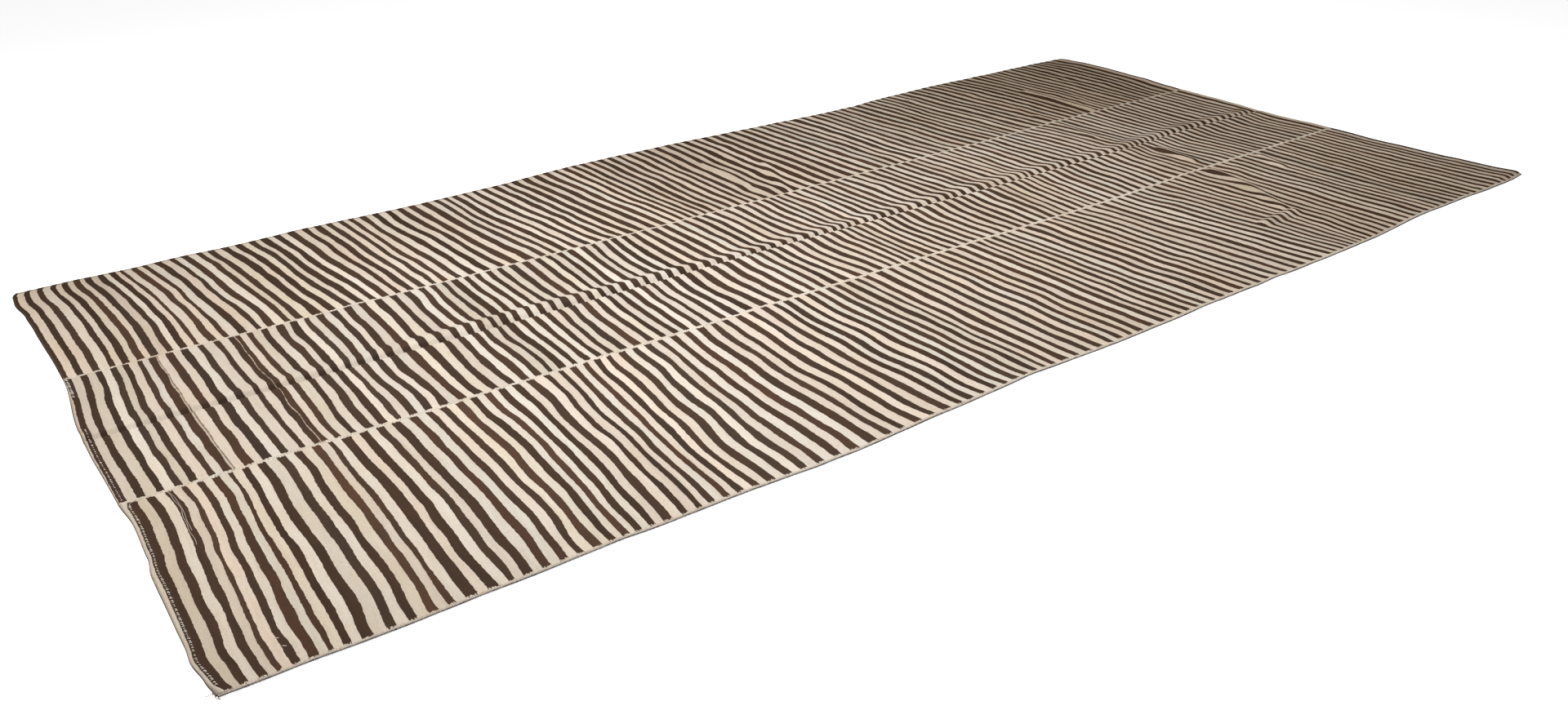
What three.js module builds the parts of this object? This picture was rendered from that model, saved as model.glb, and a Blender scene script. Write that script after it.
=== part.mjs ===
// A large flat-woven kilim lying on a floor: three hand-loomed strips of striped wool cloth, sewn side
// by side along their long edges, with their ends turned under and an overcast yarn binding along each
// outer long edge. It was stored folded in half lengthways, so a sharp crease with a raised shoulder on
// each side runs along the middle strip, and a few short folds stand up towards its right end.
//
// Millimetres. +X runs along the rug to its right end, +Y from its near long edge to its far one, +Z up.
// The origin is on the floor under the middle of the rug. The tables below are in rug coordinates:
// "along" is measured from the line through the two left corners, and "across" from the line through
// the two near corners.
import * as THREE from "three";

const CLOTH = { length: 4090, width: 2000, thickness: 2.5 };
const MIDDLE = { along: 2050, across: 989 };
const BINDING = { width: 6, height: 3.6, sides: 8 };
const SEWN_GAP = 0.3;
const HEM = { extra: 1.6, slope: 8 };
const END_REACH = 300;
const NET_STEP = 165;

// The four sides of the rug are uneven: "out" is how far the edge bulges past its corner line.
const NEAR_EDGE = table(["along", "out"], [
  [0, 4], [340, 13], [640, 17], [940, 24], [1240, 37], [1540, 29], [1820, 21], [2140, 30], [2590, 28],
  [2890, 31.5], [3160, 30], [3500, 13], [3720, 14], [3910, 23.5], [4020, 19], [4090, 12],
]);
const FAR_EDGE = table(["along", "out"], [
  [0, -8], [200, -10], [310, -14], [420, -12], [520, -16], [800, -9], [1120, -18.5], [1220, -18],
  [1420, -11], [1720, 14], [1820, 14], [2100, 10], [2320, -2], [2500, -11], [2720, -24], [2900, -22],
  [3110, -3], [3330, 6], [3420, 5], [3600, -2], [3930, -3], [4090, -14],
]);
const LEFT_END = table(["across", "out"], [
  [-20, -8], [0, 4], [50, 9], [110, 15.5], [160, 12.5], [340, 10.5], [400, 9.5], [470, 1.5],
  [600, -2.5], [700, 5], [980, 10.5], [1060, 9.5], [1350, -10.5], [1420, -10], [1700, -3.5],
  [1800, 0], [1905, 10], [1960, 7], [2000, -3],
]);
const RIGHT_END = table(["across", "out"], [
  [-22, -26], [-6, -4], [15, 11], [100, -4], [180, -8], [250, -18], [330, -19], [500, -28],
  [600, -22], [700, -22], [880, -32], [990, -31], [1060, -18], [1340, -9], [1600, 14], [1770, 23],
  [1860, 21], [1940, 8], [2000, -4],
]);

// The two seams between the strips, and the crease of the lengthways fold, which the loom and the
// sewing left a little crooked.
const NEAR_SEAM = table(["along", "across"], [
  [0, 692], [700, 680], [1500, 672], [2900, 655], [3350, 668], [4090, 667],
]);
const FAR_SEAM = table(["along", "across"], [
  [0, 1352], [700, 1346], [1500, 1338], [2900, 1336], [3400, 1344], [4090, 1336],
]);
const CREASE = table(["along", "across", "nearRise", "farRise", "farShoulder", "farSlope"], [
  [0, 998, 6, 6, 30, 45], [500, 991, 5, 7, 38, 45], [1000, 979, 7, 12, 46, 45],
  [1400, 975, 7, 11, 36, 45], [1700, 977, 7, 9, 16, 60], [2300, 966, 7, 9, 26, 70],
  [2700, 960, 7, 9, 34, 70], [3200, 958, 7, 7, 28, 60], [3650, 971, 7, 9, 27, 60],
  [3850, 967, 6, 8, 24, 50], [4020, 962, 5, 6, 24, 50], [4090, 960, 1.5, 1.5, 30, 50],
]);
const CREASE_SECTION = { nearFoot: -100, nearShoulder: -6, valley: 0, farWall: 3 };

// Short folds: the crest of each runs between two points and fades over its reach to either side.
const FOLDS = table(["along", "across", "toAlong", "toAcross", "rise", "reach"], [
  [3392, 892, 3376, 745, 7, 32], // beside the crease
  [3339, 631, 3304, 471, 7, 32], // at the near seam, upper run
  [3304, 471, 3218, 283, 6.5, 32], // its lower run, turning aside
  [3057, 236, 3214, 243, 9, 30], // across the stripes
  [3595, 626, 3561, 526, 5.5, 30], // small, towards the right end
  [2063, 1741, 2063, 1478, 5, 28], // far strip, half way along
  [2229, 1617, 2126, 1368, 6, 30], // slanting down to the far seam
  [3357, 1430, 3322, 1134, 4, 34], // over the far seam
  [3575, 1698, 3575, 1376, 6, 36], // far strip, right
]);

// The net's columns that all pieces share. The edges and the seams run straight from one to the next,
// so that pieces laid side by side keep their gap.
const SHARED_COLUMNS = steps(0, CLOTH.length, NET_STEP);
const LINES = {
  nearEdge: straightened((along) => -read(NEAR_EDGE, "along", along, "out")),
  nearSeam: straightened((along) => read(NEAR_SEAM, "along", along, "across")),
  farSeam: straightened((along) => read(FAR_SEAM, "along", along, "across")),
  farEdge: straightened((along) => CLOTH.width + read(FAR_EDGE, "along", along, "out")),
};

// A strip: its two long sides, the hem turned under at each end, the rows of its net across the cloth
// as shares of its width or as distances from the crease, and where its columns are drawn closer.
const BOUND_EDGE = BINDING.width + SEWN_GAP;
const SEWN_EDGE = SEWN_GAP / 2;
const STRIPS = [
  {
    name: "panel_near",
    colour: "#cbb9a2",
    sides: { low: LINES.nearEdge, lowInset: BOUND_EDGE, high: LINES.nearSeam, highInset: SEWN_EDGE },
    hem: { left: 14, right: 9 },
    shares: [0, 0.1, 0.22, 0.31, ...steps(0.335, 0.96, 0.037), 1],
    creaseRows: [],
    close: [...steps(3030, 3370, 20), ...steps(3535, 3625, 30)],
  },
  {
    name: "panel_middle",
    colour: "#c8b69f",
    sides: { low: LINES.nearSeam, lowInset: SEWN_EDGE, high: LINES.farSeam, highInset: SEWN_EDGE },
    hem: { left: 10, right: 25 },
    shares: [0, 0.1, 0.2, 0.3, 0.68, 0.76, 0.88, 1],
    creaseRows: [-100, -75, -50, -28, -14, -6, -3, 0, 3, 9, 14, 20, 28, 38, 50, 66, 85, 110],
    close: steps(3290, 3425, 19),
  },
  {
    name: "panel_far",
    colour: "#bfae98",
    sides: { low: LINES.farSeam, lowInset: SEWN_EDGE, high: LINES.farEdge, highInset: BOUND_EDGE },
    hem: { left: 8, right: 12 },
    shares: [0, 0.03, ...steps(0.07, 0.65, 0.075), 0.8, 1],
    creaseRows: [],
    close: [...steps(2035, 2260, 19), ...steps(3325, 3390, 20), ...steps(3540, 3610, 18)],
  },
];

function table(columns, rows) {
  return rows.map((row) => Object.fromEntries(columns.map((column, k) => [column, row[k]])));
}

function steps(from, to, step) {
  const count = Math.round((to - from) / step);
  return Array.from({ length: count + 1 }, (_, k) => from + ((to - from) * k) / count);
}

function smooth(share) {
  const x = Math.min(1, Math.max(0, share));
  return x * x * (3 - 2 * x);
}

// One column of a table at a place between its rows, level at each row.
function read(rows, key, place, column) {
  if (place <= rows[0][key]) return rows[0][column];
  const next = rows.findIndex((row) => row[key] >= place);
  if (next < 0) return rows[rows.length - 1][column];
  const [a, b] = [rows[next - 1], rows[next]];
  return a[column] + (b[column] - a[column]) * smooth((place - a[key]) / (b[key] - a[key]));
}

// A curve along the rug that runs straight between the shared columns.
function straightened(curve) {
  return (along) => {
    const cell = CLOTH.length / (SHARED_COLUMNS.length - 1);
    const k = Math.min(SHARED_COLUMNS.length - 2, Math.floor(along / cell));
    const [from, to] = [curve(SHARED_COLUMNS[k]), curve(SHARED_COLUMNS[k + 1])];
    return from + ((to - from) * (along - SHARED_COLUMNS[k])) / cell;
  };
}

// The uneven ends push the cloth along only near those ends.
function pushAlong(along, across) {
  const left = read(LEFT_END, "across", across, "out") * smooth(1 - along / END_REACH);
  const right = read(RIGHT_END, "across", across, "out") * smooth(1 - (CLOTH.length - along) / END_REACH);
  return along - left + right;
}

// Height of the cloth's underside over the floor beside the lengthways crease.
function creaseHeight(along, across) {
  const offset = across - read(CREASE, "along", along, "across");
  const nearRise = read(CREASE, "along", along, "nearRise");
  const farRise = read(CREASE, "along", along, "farRise");
  const shoulder = read(CREASE, "along", along, "farShoulder");
  const slope = read(CREASE, "along", along, "farSlope");
  const section = table(["offset", "height"], [
    [CREASE_SECTION.nearFoot, 0], [CREASE_SECTION.nearShoulder, nearRise], [CREASE_SECTION.valley, 0],
    [CREASE_SECTION.farWall, 0], [shoulder, farRise], [shoulder + slope, 0],
  ]);
  return read(section, "offset", offset, "height");
}

function foldHeight(fold, along, across) {
  const crest = new THREE.Line3(
    new THREE.Vector3(fold.along, fold.across, 0),
    new THREE.Vector3(fold.toAlong, fold.toAcross, 0),
  );
  const place = new THREE.Vector3(along, across, 0);
  const nearest = crest.closestPointToPoint(place, true, new THREE.Vector3());
  return fold.rise * smooth(1 - nearest.distanceTo(place) / fold.reach);
}

function relief(along, across) {
  return Math.max(creaseHeight(along, across), ...FOLDS.map((fold) => foldHeight(fold, along, across)));
}

// A point of the rug, from its place on the flat cloth and its height over the cloth's underside.
function placed(along, across, height) {
  return new THREE.Vector3(
    pushAlong(along, across) - MIDDLE.along,
    across - MIDDLE.across,
    relief(along, across) + height,
  );
}

// Where the net's columns stand along a strip: the shared ones, at the hems, and closer over the folds.
function netColumns(strip) {
  const { left, right } = strip.hem;
  const hems = [left, left + HEM.slope, CLOTH.length - right - HEM.slope, CLOTH.length - right];
  return [...SHARED_COLUMNS, ...hems, ...strip.close].sort((a, b) => a - b);
}

// Where the net's rows stand across a strip at one column.
function netRows(strip, along) {
  const low = strip.sides.low(along) + strip.sides.lowInset;
  const high = strip.sides.high(along) - strip.sides.highInset;
  const crease = read(CREASE, "along", along, "across");
  const rows = strip.shares.map((share) => low + (high - low) * share);
  return [...rows, ...strip.creaseRows.map((offset) => crease + offset)].sort((a, b) => a - b);
}

function clothThickness(strip, along) {
  const left = smooth(1 - (along - strip.hem.left) / HEM.slope);
  const right = smooth(1 - (CLOTH.length - strip.hem.right - along) / HEM.slope);
  return CLOTH.thickness + HEM.extra * Math.max(left, right);
}

// A strip is a thin box of cells whose corners are laid on the relief.
function stripMesh(strip) {
  const columns = netColumns(strip);
  const rows = columns.map((along) => netRows(strip, along));
  const [cells, lines] = [columns.length - 1, rows[0].length - 1];
  const geometry = new THREE.BoxGeometry(cells, lines, 2, cells, lines, 1);
  const corners = geometry.attributes.position;
  for (let k = 0; k < corners.count; k += 1) {
    const column = Math.round(corners.getX(k) + cells / 2);
    const row = Math.round(corners.getY(k) + lines / 2);
    const along = columns[column];
    const height = corners.getZ(k) > 0 ? clothThickness(strip, along) : 0;
    corners.setXYZ(k, ...placed(along, rows[column][row], height).toArray());
  }
  return woolMesh(strip.name, geometry, strip.colour);
}

// A binding is a flattened round of overcast yarn that runs along one outer edge.
function bindingMesh(name, centreLine, colour) {
  const cells = SHARED_COLUMNS.length - 1;
  const halfSide = Math.PI / BINDING.sides;
  const geometry = new THREE.CylinderGeometry(1, 1, cells, BINDING.sides, cells, false, halfSide);
  const corners = geometry.attributes.position;
  for (let k = 0; k < corners.count; k += 1) {
    const along = SHARED_COLUMNS[Math.round(corners.getY(k) + cells / 2)];
    const aside = (-corners.getX(k) / Math.cos(halfSide)) * (BINDING.width / 2);
    const height = (BINDING.height / 2) * (1 + corners.getZ(k) / Math.cos(halfSide));
    corners.setXYZ(k, ...placed(along, centreLine(along) + aside, height).toArray());
  }
  return woolMesh(name, geometry, colour);
}

function woolMesh(name, geometry, colour) {
  const wool = new THREE.MeshStandardMaterial({ color: colour, roughness: 0.95, metalness: 0 });
  geometry.computeVertexNormals();
  const mesh = new THREE.Mesh(geometry, wool);
  mesh.name = name;
  return mesh;
}

const rug = new THREE.Group();
rug.add(...STRIPS.map(stripMesh));
rug.add(bindingMesh("binding_near", (along) => LINES.nearEdge(along) + BINDING.width / 2, "#d9cbb5"));
rug.add(bindingMesh("binding_far", (along) => LINES.farEdge(along) - BINDING.width / 2, "#b9a991"));

export default rug;
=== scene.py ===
"""A large flat-woven kilim: three hand-loomed strips of striped wool, sewn side by side.

Sizes are in millimetres of cloth. "Along" is measured from the line through the rug's two left corners
and "across" from the line through its two near corners. The Lay turns such a place into a point of
the frame, in metres.
"""

import logging
import math
from collections.abc import Iterator
from dataclasses import dataclass, field
from enum import Enum

import bpy
import numpy as np
from mathutils import Matrix, Vector


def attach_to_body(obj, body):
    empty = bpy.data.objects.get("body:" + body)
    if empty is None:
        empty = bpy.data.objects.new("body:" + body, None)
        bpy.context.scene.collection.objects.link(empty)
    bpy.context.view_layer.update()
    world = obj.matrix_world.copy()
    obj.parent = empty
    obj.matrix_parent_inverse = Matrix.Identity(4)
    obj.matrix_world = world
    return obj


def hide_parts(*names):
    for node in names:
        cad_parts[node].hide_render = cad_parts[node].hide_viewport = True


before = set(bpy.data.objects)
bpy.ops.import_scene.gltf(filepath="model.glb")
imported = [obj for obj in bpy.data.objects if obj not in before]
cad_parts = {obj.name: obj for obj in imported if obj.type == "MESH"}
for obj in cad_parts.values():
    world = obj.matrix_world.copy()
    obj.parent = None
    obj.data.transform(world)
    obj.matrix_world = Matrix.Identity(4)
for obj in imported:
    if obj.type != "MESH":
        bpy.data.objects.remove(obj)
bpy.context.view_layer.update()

LOG = logging.getLogger("rug")
MM = 0.001
BODY = "root"

# The width of the overcast edges, and the gap between pieces that are sewn together.
BINDING_WIDTH = 6.0
SEWN_GAP = 0.3
BOUND_INSET = BINDING_WIDTH + SEWN_GAP

Colour = tuple[float, float, float]
Paint = tuple[float, float, float, float]
Socket = bpy.types.NodeSocket
Value = Socket | float | tuple | bpy.types.ID

# What soil lets through of each colour.
SOILED: Paint = (0.82, 0.74, 0.58, 1.0)


def smooth(share: np.ndarray | float) -> np.ndarray:
    """Turns a share from 0 to 1 into one that starts and ends level."""
    held = np.clip(share, 0.0, 1.0)
    return held * held * (3.0 - 2.0 * held)


def linear(colour: Colour) -> Colour:
    """Turns a colour as seen on a screen, 0 to 255, into the light it stands for."""
    parts = (value / 255.0 for value in colour)
    return tuple(x / 12.92 if x <= 0.04045 else ((x + 0.055) / 1.055) ** 2.4 for x in parts)


@dataclass(frozen=True)
class Table:
    """A short table that can be read between its rows.

    Attributes:
        columns: The columns' names. The first one is the place that a row stands at.
        rows: The rows, in order of place.
    """

    columns: tuple[str, ...]
    rows: tuple[tuple[float, ...], ...]

    def column(self, name: str) -> np.ndarray:
        """Gives one column's values, row by row."""
        return np.array([row[self.columns.index(name)] for row in self.rows], dtype=float)

    def each(self) -> Iterator[dict[str, float]]:
        """Goes through the rows, each as its columns' values by name."""
        return (dict(zip(self.columns, row)) for row in self.rows)

    def cells(self, place: np.ndarray) -> tuple[np.ndarray, np.ndarray, np.ndarray]:
        """Finds the rows on either side of each place.

        Args:
            place: The places to look up.

        Returns:
            The row before each place, the share of the way to the next row, and the rows' places.
        """
        at = self.column(self.columns[0])
        before = np.clip(np.searchsorted(at, place) - 1, 0, len(at) - 2)
        share = np.clip((place - at[before]) / (at[before + 1] - at[before]), 0.0, 1.0)
        return before, share, at

    def read(self, place: np.ndarray, name: str) -> np.ndarray:
        """Reads a column at the places given, level at each row.

        Args:
            place: The places to read at.
            name: The column's name.

        Returns:
            One value for each place.
        """
        before, share, _ = self.cells(place)
        value = self.column(name)
        return value[before] + (value[before + 1] - value[before]) * smooth(share)

    def flow(self, place: np.ndarray, name: str) -> np.ndarray:
        """Reads a column along a curve that runs through its rows without levelling.

        Args:
            place: The places to read at.
            name: The column's name.

        Returns:
            One value for each place.
        """
        before, x, at = self.cells(place)
        value = self.column(name)
        slope = np.gradient(value, at)
        step = at[before + 1] - at[before]
        from_start = value[before] * (1 + 2 * x) + slope[before] * step * x
        to_end = value[before + 1] * (3 - 2 * x) - slope[before + 1] * step * (1 - x)
        return from_start * (1 - x) ** 2 + to_end * x**2


@dataclass(frozen=True)
class Sway:
    """A gentle random undulation over the cloth, summed from seeded waves.

    Attributes:
        seed: The seed of its waves.
        along: The length of its shortest wave along the rug.
        across: The length of its shortest wave across the rug.
        size: The height that it usually keeps within.
        waves: How many waves it sums.
    """

    seed: int
    along: float
    across: float
    size: float
    waves: int = 20

    def at(self, along: np.ndarray, across: np.ndarray, salt: int = 0) -> np.ndarray:
        """Gives the undulation's height at each place.

        Args:
            along: Places along the rug.
            across: Places across it.
            salt: A number that is added to the seed, for waves of the same kind elsewhere.

        Returns:
            The height at each place.
        """
        random = np.random.default_rng(self.seed + salt)
        total = np.zeros(np.broadcast(along, across).shape)
        for _ in range(self.waves):
            turns_along, turns_across = random.uniform(-1, 1, size=2) / (self.along, self.across)
            phase = random.uniform(0.0, math.tau)
            total += np.sin(math.tau * (turns_along * along + turns_across * across) + phase)
        return self.size * total / math.sqrt(self.waves / 2)


class Line(Enum):
    """The four lines that run the length of the rug, from the near edge to the far one."""

    NEAR_EDGE = "near edge"
    NEAR_SEAM = "near seam"
    FAR_SEAM = "far seam"
    FAR_EDGE = "far edge"


@dataclass(frozen=True)
class Crease:
    """The sharp lengthways crease and the raised shoulder on each side of it.

    Attributes:
        course: Where its valley runs, how high and wide its shoulders are, and how dark the shade
        painted beside its valley is.
        near_foot: Where the near shoulder starts to rise, measured from the valley.
        near_shoulder: The near shoulder's crest.
        far_wall: Where the far shoulder's steep wall starts.
        painted_crease_shade: Where the shade painted beside the valley starts, is full, starts to fade and
            ends.
    """

    course: Table = Table(
        ("along", "across", "near_rise", "far_rise", "far_shoulder", "far_slope", "dark"),
        (
            (0, 998, 6, 6, 30, 45, 0.7), (500, 991, 5, 7, 38, 45, 0.8), (1000, 979, 7, 12, 46, 45, 0.5),
            (1400, 975, 7, 11, 36, 45, 0.4), (1700, 977, 7, 9, 16, 60, 0.2),
            (2300, 966, 7, 9, 26, 70, 0.2), (2700, 960, 7, 9, 34, 70, 0.2),
            (3200, 958, 7, 7, 28, 60, 0.2), (3650, 971, 7, 9, 27, 60, 0.2),
            (3850, 967, 6, 8, 24, 50, 0.1), (4020, 962, 5, 6, 24, 50, 0.1),
            (4090, 960, 1.5, 1.5, 30, 50, 0.0),
        ),
    )
    near_foot: float = -100.0
    near_shoulder: float = -6.0
    far_wall: float = 3.0
    painted_crease_shade: tuple[float, float, float, float] = (-3.0, 1.0, 16.0, 30.0)

    def valley(self, along: np.ndarray) -> np.ndarray:
        """Gives the valley's place across the rug."""
        return self.course.read(along, "across")

    def height(self, along: np.ndarray, across: np.ndarray) -> np.ndarray:
        """Gives the height of the cloth's underside beside the crease.

        Args:
            along: Places along the rug.
            across: Places across it.

        Returns:
            The height at each place.
        """
        offset = across - self.valley(along)
        near_rise = self.course.read(along, "near_rise")
        far_rise = self.course.read(along, "far_rise")
        shoulder = self.course.read(along, "far_shoulder")
        climb = smooth((offset - self.near_foot) / (self.near_shoulder - self.near_foot))
        drop = smooth(offset / self.near_shoulder)
        wall = smooth((offset - self.far_wall) / (shoulder - self.far_wall))
        back = smooth(1 - (offset - shoulder) / self.course.read(along, "far_slope"))
        return np.select(
            [offset < self.near_shoulder, offset < 0, offset < shoulder],
            [near_rise * climb, near_rise * drop, far_rise * wall],
            far_rise * back,
        )

    def shade(self, along: np.ndarray, across: np.ndarray) -> np.ndarray:
        """Gives how strongly shade is painted onto the cloth beside the crease's valley, from 0 to 1."""
        offset = across - self.valley(along)
        start, full, fade, end = self.painted_crease_shade
        within = smooth((offset - start) / (full - start)) * smooth((end - offset) / (end - fade))
        return self.course.read(along, "dark") * within


@dataclass(frozen=True)
class Folds:
    """Short folds that stand up from the floor, each with a crest between two points.

    Attributes:
        plan: The crests' ends, how high they rise and how far to each side a fold reaches.
    """

    plan: Table = Table(
        ("along", "across", "to_along", "to_across", "rise", "reach"),
        (
            (3392, 892, 3376, 745, 7, 32), (3339, 631, 3304, 471, 7, 32),
            (3304, 471, 3218, 283, 6.5, 32), (3057, 236, 3214, 243, 9, 30),
            (3595, 626, 3561, 526, 5.5, 30), (2063, 1741, 2063, 1478, 5, 28),
            (2229, 1617, 2126, 1368, 6, 30), (3357, 1430, 3322, 1134, 4, 34),
            (3575, 1698, 3575, 1376, 6, 36),
        ),
    )

    def height(self, along: np.ndarray, across: np.ndarray) -> np.ndarray:
        """Gives the height that the folds lift the cloth to.

        Args:
            along: Places along the rug.
            across: Places across it.

        Returns:
            The height at each place.
        """
        highest = np.zeros(np.broadcast(along, across).shape)
        for fold in self.plan.each():
            run_along, run_across = fold["to_along"] - fold["along"], fold["to_across"] - fold["across"]
            from_along, from_across = along - fold["along"], across - fold["across"]
            share = (from_along * run_along + from_across * run_across) / (run_along**2 + run_across**2)
            share = np.clip(share, 0.0, 1.0)
            away = np.hypot(from_along - share * run_along, from_across - share * run_across)
            highest = np.maximum(highest, fold["rise"] * smooth(1 - away / fold["reach"]))
        return highest


@dataclass(frozen=True)
class Lay:
    """How the rug lies: its uneven outline, its seams, and how high it stands over the floor.

    Attributes:
        length: The distance between the lines through the corners of each end.
        width: The distance between the lines through the corners of each long edge.
        middle: The place, along and across, that the frame's origin lies under.
        end_reach: How far from an end its unevenness pushes the cloth.
        crease: The crease that runs its whole length.
        folds: Its short folds.
        ripple: The slight rise and fall that the cloth keeps everywhere.
        edge_lift: How far the near edge lifts off the floor in places.
        edge_lift_reach: How far in from the edge that lift reaches.
        rim_painted_shade: How strongly shade is painted on the rounded rim of the left end's turned hem.
        painted_rim_width: How wide that painted shade is.
        corner_extra: How much wider the painted shade is at the near corner, where the corner curls under.
        corner_reach: How far from the near corner that reaches.
        slope_step: How far to each side of a place its slope is measured.
        near_edge: How far the near edge bulges past the line through its corners.
        far_edge: The same for the far edge.
        left_end: The same for the left end.
        right_end: The same for the right end.
        near_seam: Where the seam between the near strip and the middle one runs.
        far_seam: Where the seam between the middle strip and the far one runs.
    """

    length: float = 4090.0
    width: float = 2000.0
    middle: tuple[float, float] = (2050.0, 989.0)
    end_reach: float = 300.0
    crease: Crease = Crease()
    folds: Folds = Folds()
    ripple: Sway = Sway(seed=5, along=150, across=120, size=0.7)
    edge_lift: Sway = Sway(seed=8, along=120, across=4000, size=0.9)
    edge_lift_reach: float = 45.0
    rim_painted_shade: float = 0.75
    painted_rim_width: float = 4.5
    corner_extra: float = 7.0
    corner_reach: float = 70.0
    slope_step: float = 1.5
    near_edge: Table = Table(
        ("along", "out"),
        (
            (0, 4), (340, 13), (640, 17), (940, 24), (1240, 37), (1540, 29), (1820, 21), (2140, 30),
            (2590, 28), (2890, 31.5), (3160, 30), (3500, 13), (3720, 14), (3910, 23.5), (4020, 19),
            (4090, 12),
        ),
    )
    far_edge: Table = Table(
        ("along", "out"),
        (
            (0, -8), (200, -10), (310, -14), (420, -12), (520, -16), (800, -9), (1120, -18.5),
            (1220, -18), (1420, -11), (1720, 14), (1820, 14), (2100, 10), (2320, -2), (2500, -11),
            (2720, -24), (2900, -22), (3110, -3), (3330, 6), (3420, 5), (3600, -2), (3930, -3),
            (4090, -14),
        ),
    )
    left_end: Table = Table(
        ("across", "out"),
        (
            (-20, -8), (0, 4), (50, 9), (110, 15.5), (160, 12.5), (340, 10.5), (400, 9.5), (470, 1.5),
            (600, -2.5), (700, 5), (980, 10.5), (1060, 9.5), (1350, -10.5), (1420, -10), (1700, -3.5),
            (1800, 0), (1905, 10), (1960, 7), (2000, -3),
        ),
    )
    right_end: Table = Table(
        ("across", "out"),
        (
            (-22, -26), (-6, -4), (15, 11), (100, -4), (180, -8), (250, -18), (330, -19), (500, -28),
            (600, -22), (700, -22), (880, -32), (990, -31), (1060, -18), (1340, -9), (1600, 14), (1770, 23),
            (1860, 21), (1940, 8), (2000, -4),
        ),
    )
    near_seam: Table = Table(
        ("along", "across"),
        ((0, 692), (700, 680), (1500, 672), (2900, 655), (3350, 668), (4090, 667)),
    )
    far_seam: Table = Table(
        ("along", "across"),
        ((0, 1352), (700, 1346), (1500, 1338), (2900, 1336), (3400, 1344), (4090, 1336)),
    )

    def line(self, name: Line, along: np.ndarray) -> np.ndarray:
        """Gives the place across the rug of an edge or a seam.

        Args:
            name: Which of the four lines.
            along: Places along the rug.

        Returns:
            The line's place across the rug at each of them.
        """
        if name is Line.NEAR_EDGE:
            return -self.near_edge.read(along, "out")
        if name is Line.FAR_EDGE:
            return self.width + self.far_edge.read(along, "out")
        seam = self.near_seam if name is Line.NEAR_SEAM else self.far_seam
        return seam.read(along, "across")

    def height(self, along: np.ndarray, across: np.ndarray) -> np.ndarray:
        """Gives the height of the cloth's underside over the floor at each place."""
        from_edge = across - self.line(Line.NEAR_EDGE, along)
        lift = np.maximum(self.edge_lift.at(along, np.zeros_like(across)), 0.0)
        lift = lift * smooth(1 - from_edge / self.edge_lift_reach)
        soft = np.maximum(self.ripple.at(along, across), 0.0) + lift
        sharp = np.maximum(self.crease.height(along, across), self.folds.height(along, across))
        return np.maximum(sharp, soft)

    def point(self, along: np.ndarray, across: np.ndarray, lift: np.ndarray | float) -> np.ndarray:
        """Turns places on the cloth into points of the frame.

        Args:
            along: Places along the rug.
            across: Places across it.
            lift: Heights over the cloth's underside.

        Returns:
            An array of the places' shape with a last axis of x, y and z, in metres.
        """
        left = self.left_end.read(across, "out") * smooth(1 - along / self.end_reach)
        right = self.right_end.read(across, "out") * smooth(1 - (self.length - along) / self.end_reach)
        x = along - left + right - self.middle[0]
        y = across - self.middle[1]
        z = self.height(along, across) + lift
        return np.stack(np.broadcast_arrays(x, y, z), axis=-1) * MM

    def up(self, along: np.ndarray, across: np.ndarray) -> np.ndarray:
        """Gives the direction that the cloth's face looks in at each place."""
        step = self.slope_step
        by_along = self.point(along + step, across, 0.0) - self.point(along - step, across, 0.0)
        by_across = self.point(along, across + step, 0.0) - self.point(along, across - step, 0.0)
        up = np.cross(by_along, by_across)
        return up / np.linalg.norm(up, axis=-1, keepdims=True)


LAY = Lay()


class Wool(Enum):
    """The two wools that the stripes are woven of."""

    IVORY = "ivory"
    BROWN = "brown"

    def other(self) -> "Wool":
        """Gives the wool of the next stripe."""
        return Wool.BROWN if self is Wool.IVORY else Wool.IVORY


@dataclass(frozen=True)
class Dye:
    """The natural shades of one wool, as each batch of it came out.

    Attributes:
        shades: Colours as seen on a screen, 0 to 255.
        shares: How often each of them comes.
        drift: How much one stripe's lightness strays from its shade.
    """

    shades: tuple[Colour, ...]
    shares: tuple[float, ...]
    drift: float

    def pick(self, count: int, random: np.random.Generator) -> np.ndarray:
        """Picks a shade for each stripe.

        Args:
            count: How many stripes.
            random: The generator to draw from.

        Returns:
            One linear colour for each stripe.
        """
        chances = np.array(self.shares) / sum(self.shares)
        shades = np.array([linear(shade) for shade in self.shades])
        picked = shades[random.choice(len(shades), size=count, p=chances)]
        return picked * random.normal(1.0, self.drift, size=(count, 1))


DYES = {
    Wool.IVORY: Dye(
        shades=((228, 211, 194), (227, 212, 196), (229, 217, 202), (224, 210, 191), (223, 213, 198)),
        shares=(4, 5, 4, 2, 1),
        drift=0.045,
    ),
    Wool.BROWN: Dye(
        shades=((76, 60, 49), (73, 58, 47), (81, 62, 50), (73, 60, 50)),
        shares=(4, 3, 2, 2),
        drift=0.07,
    ),
}


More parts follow.
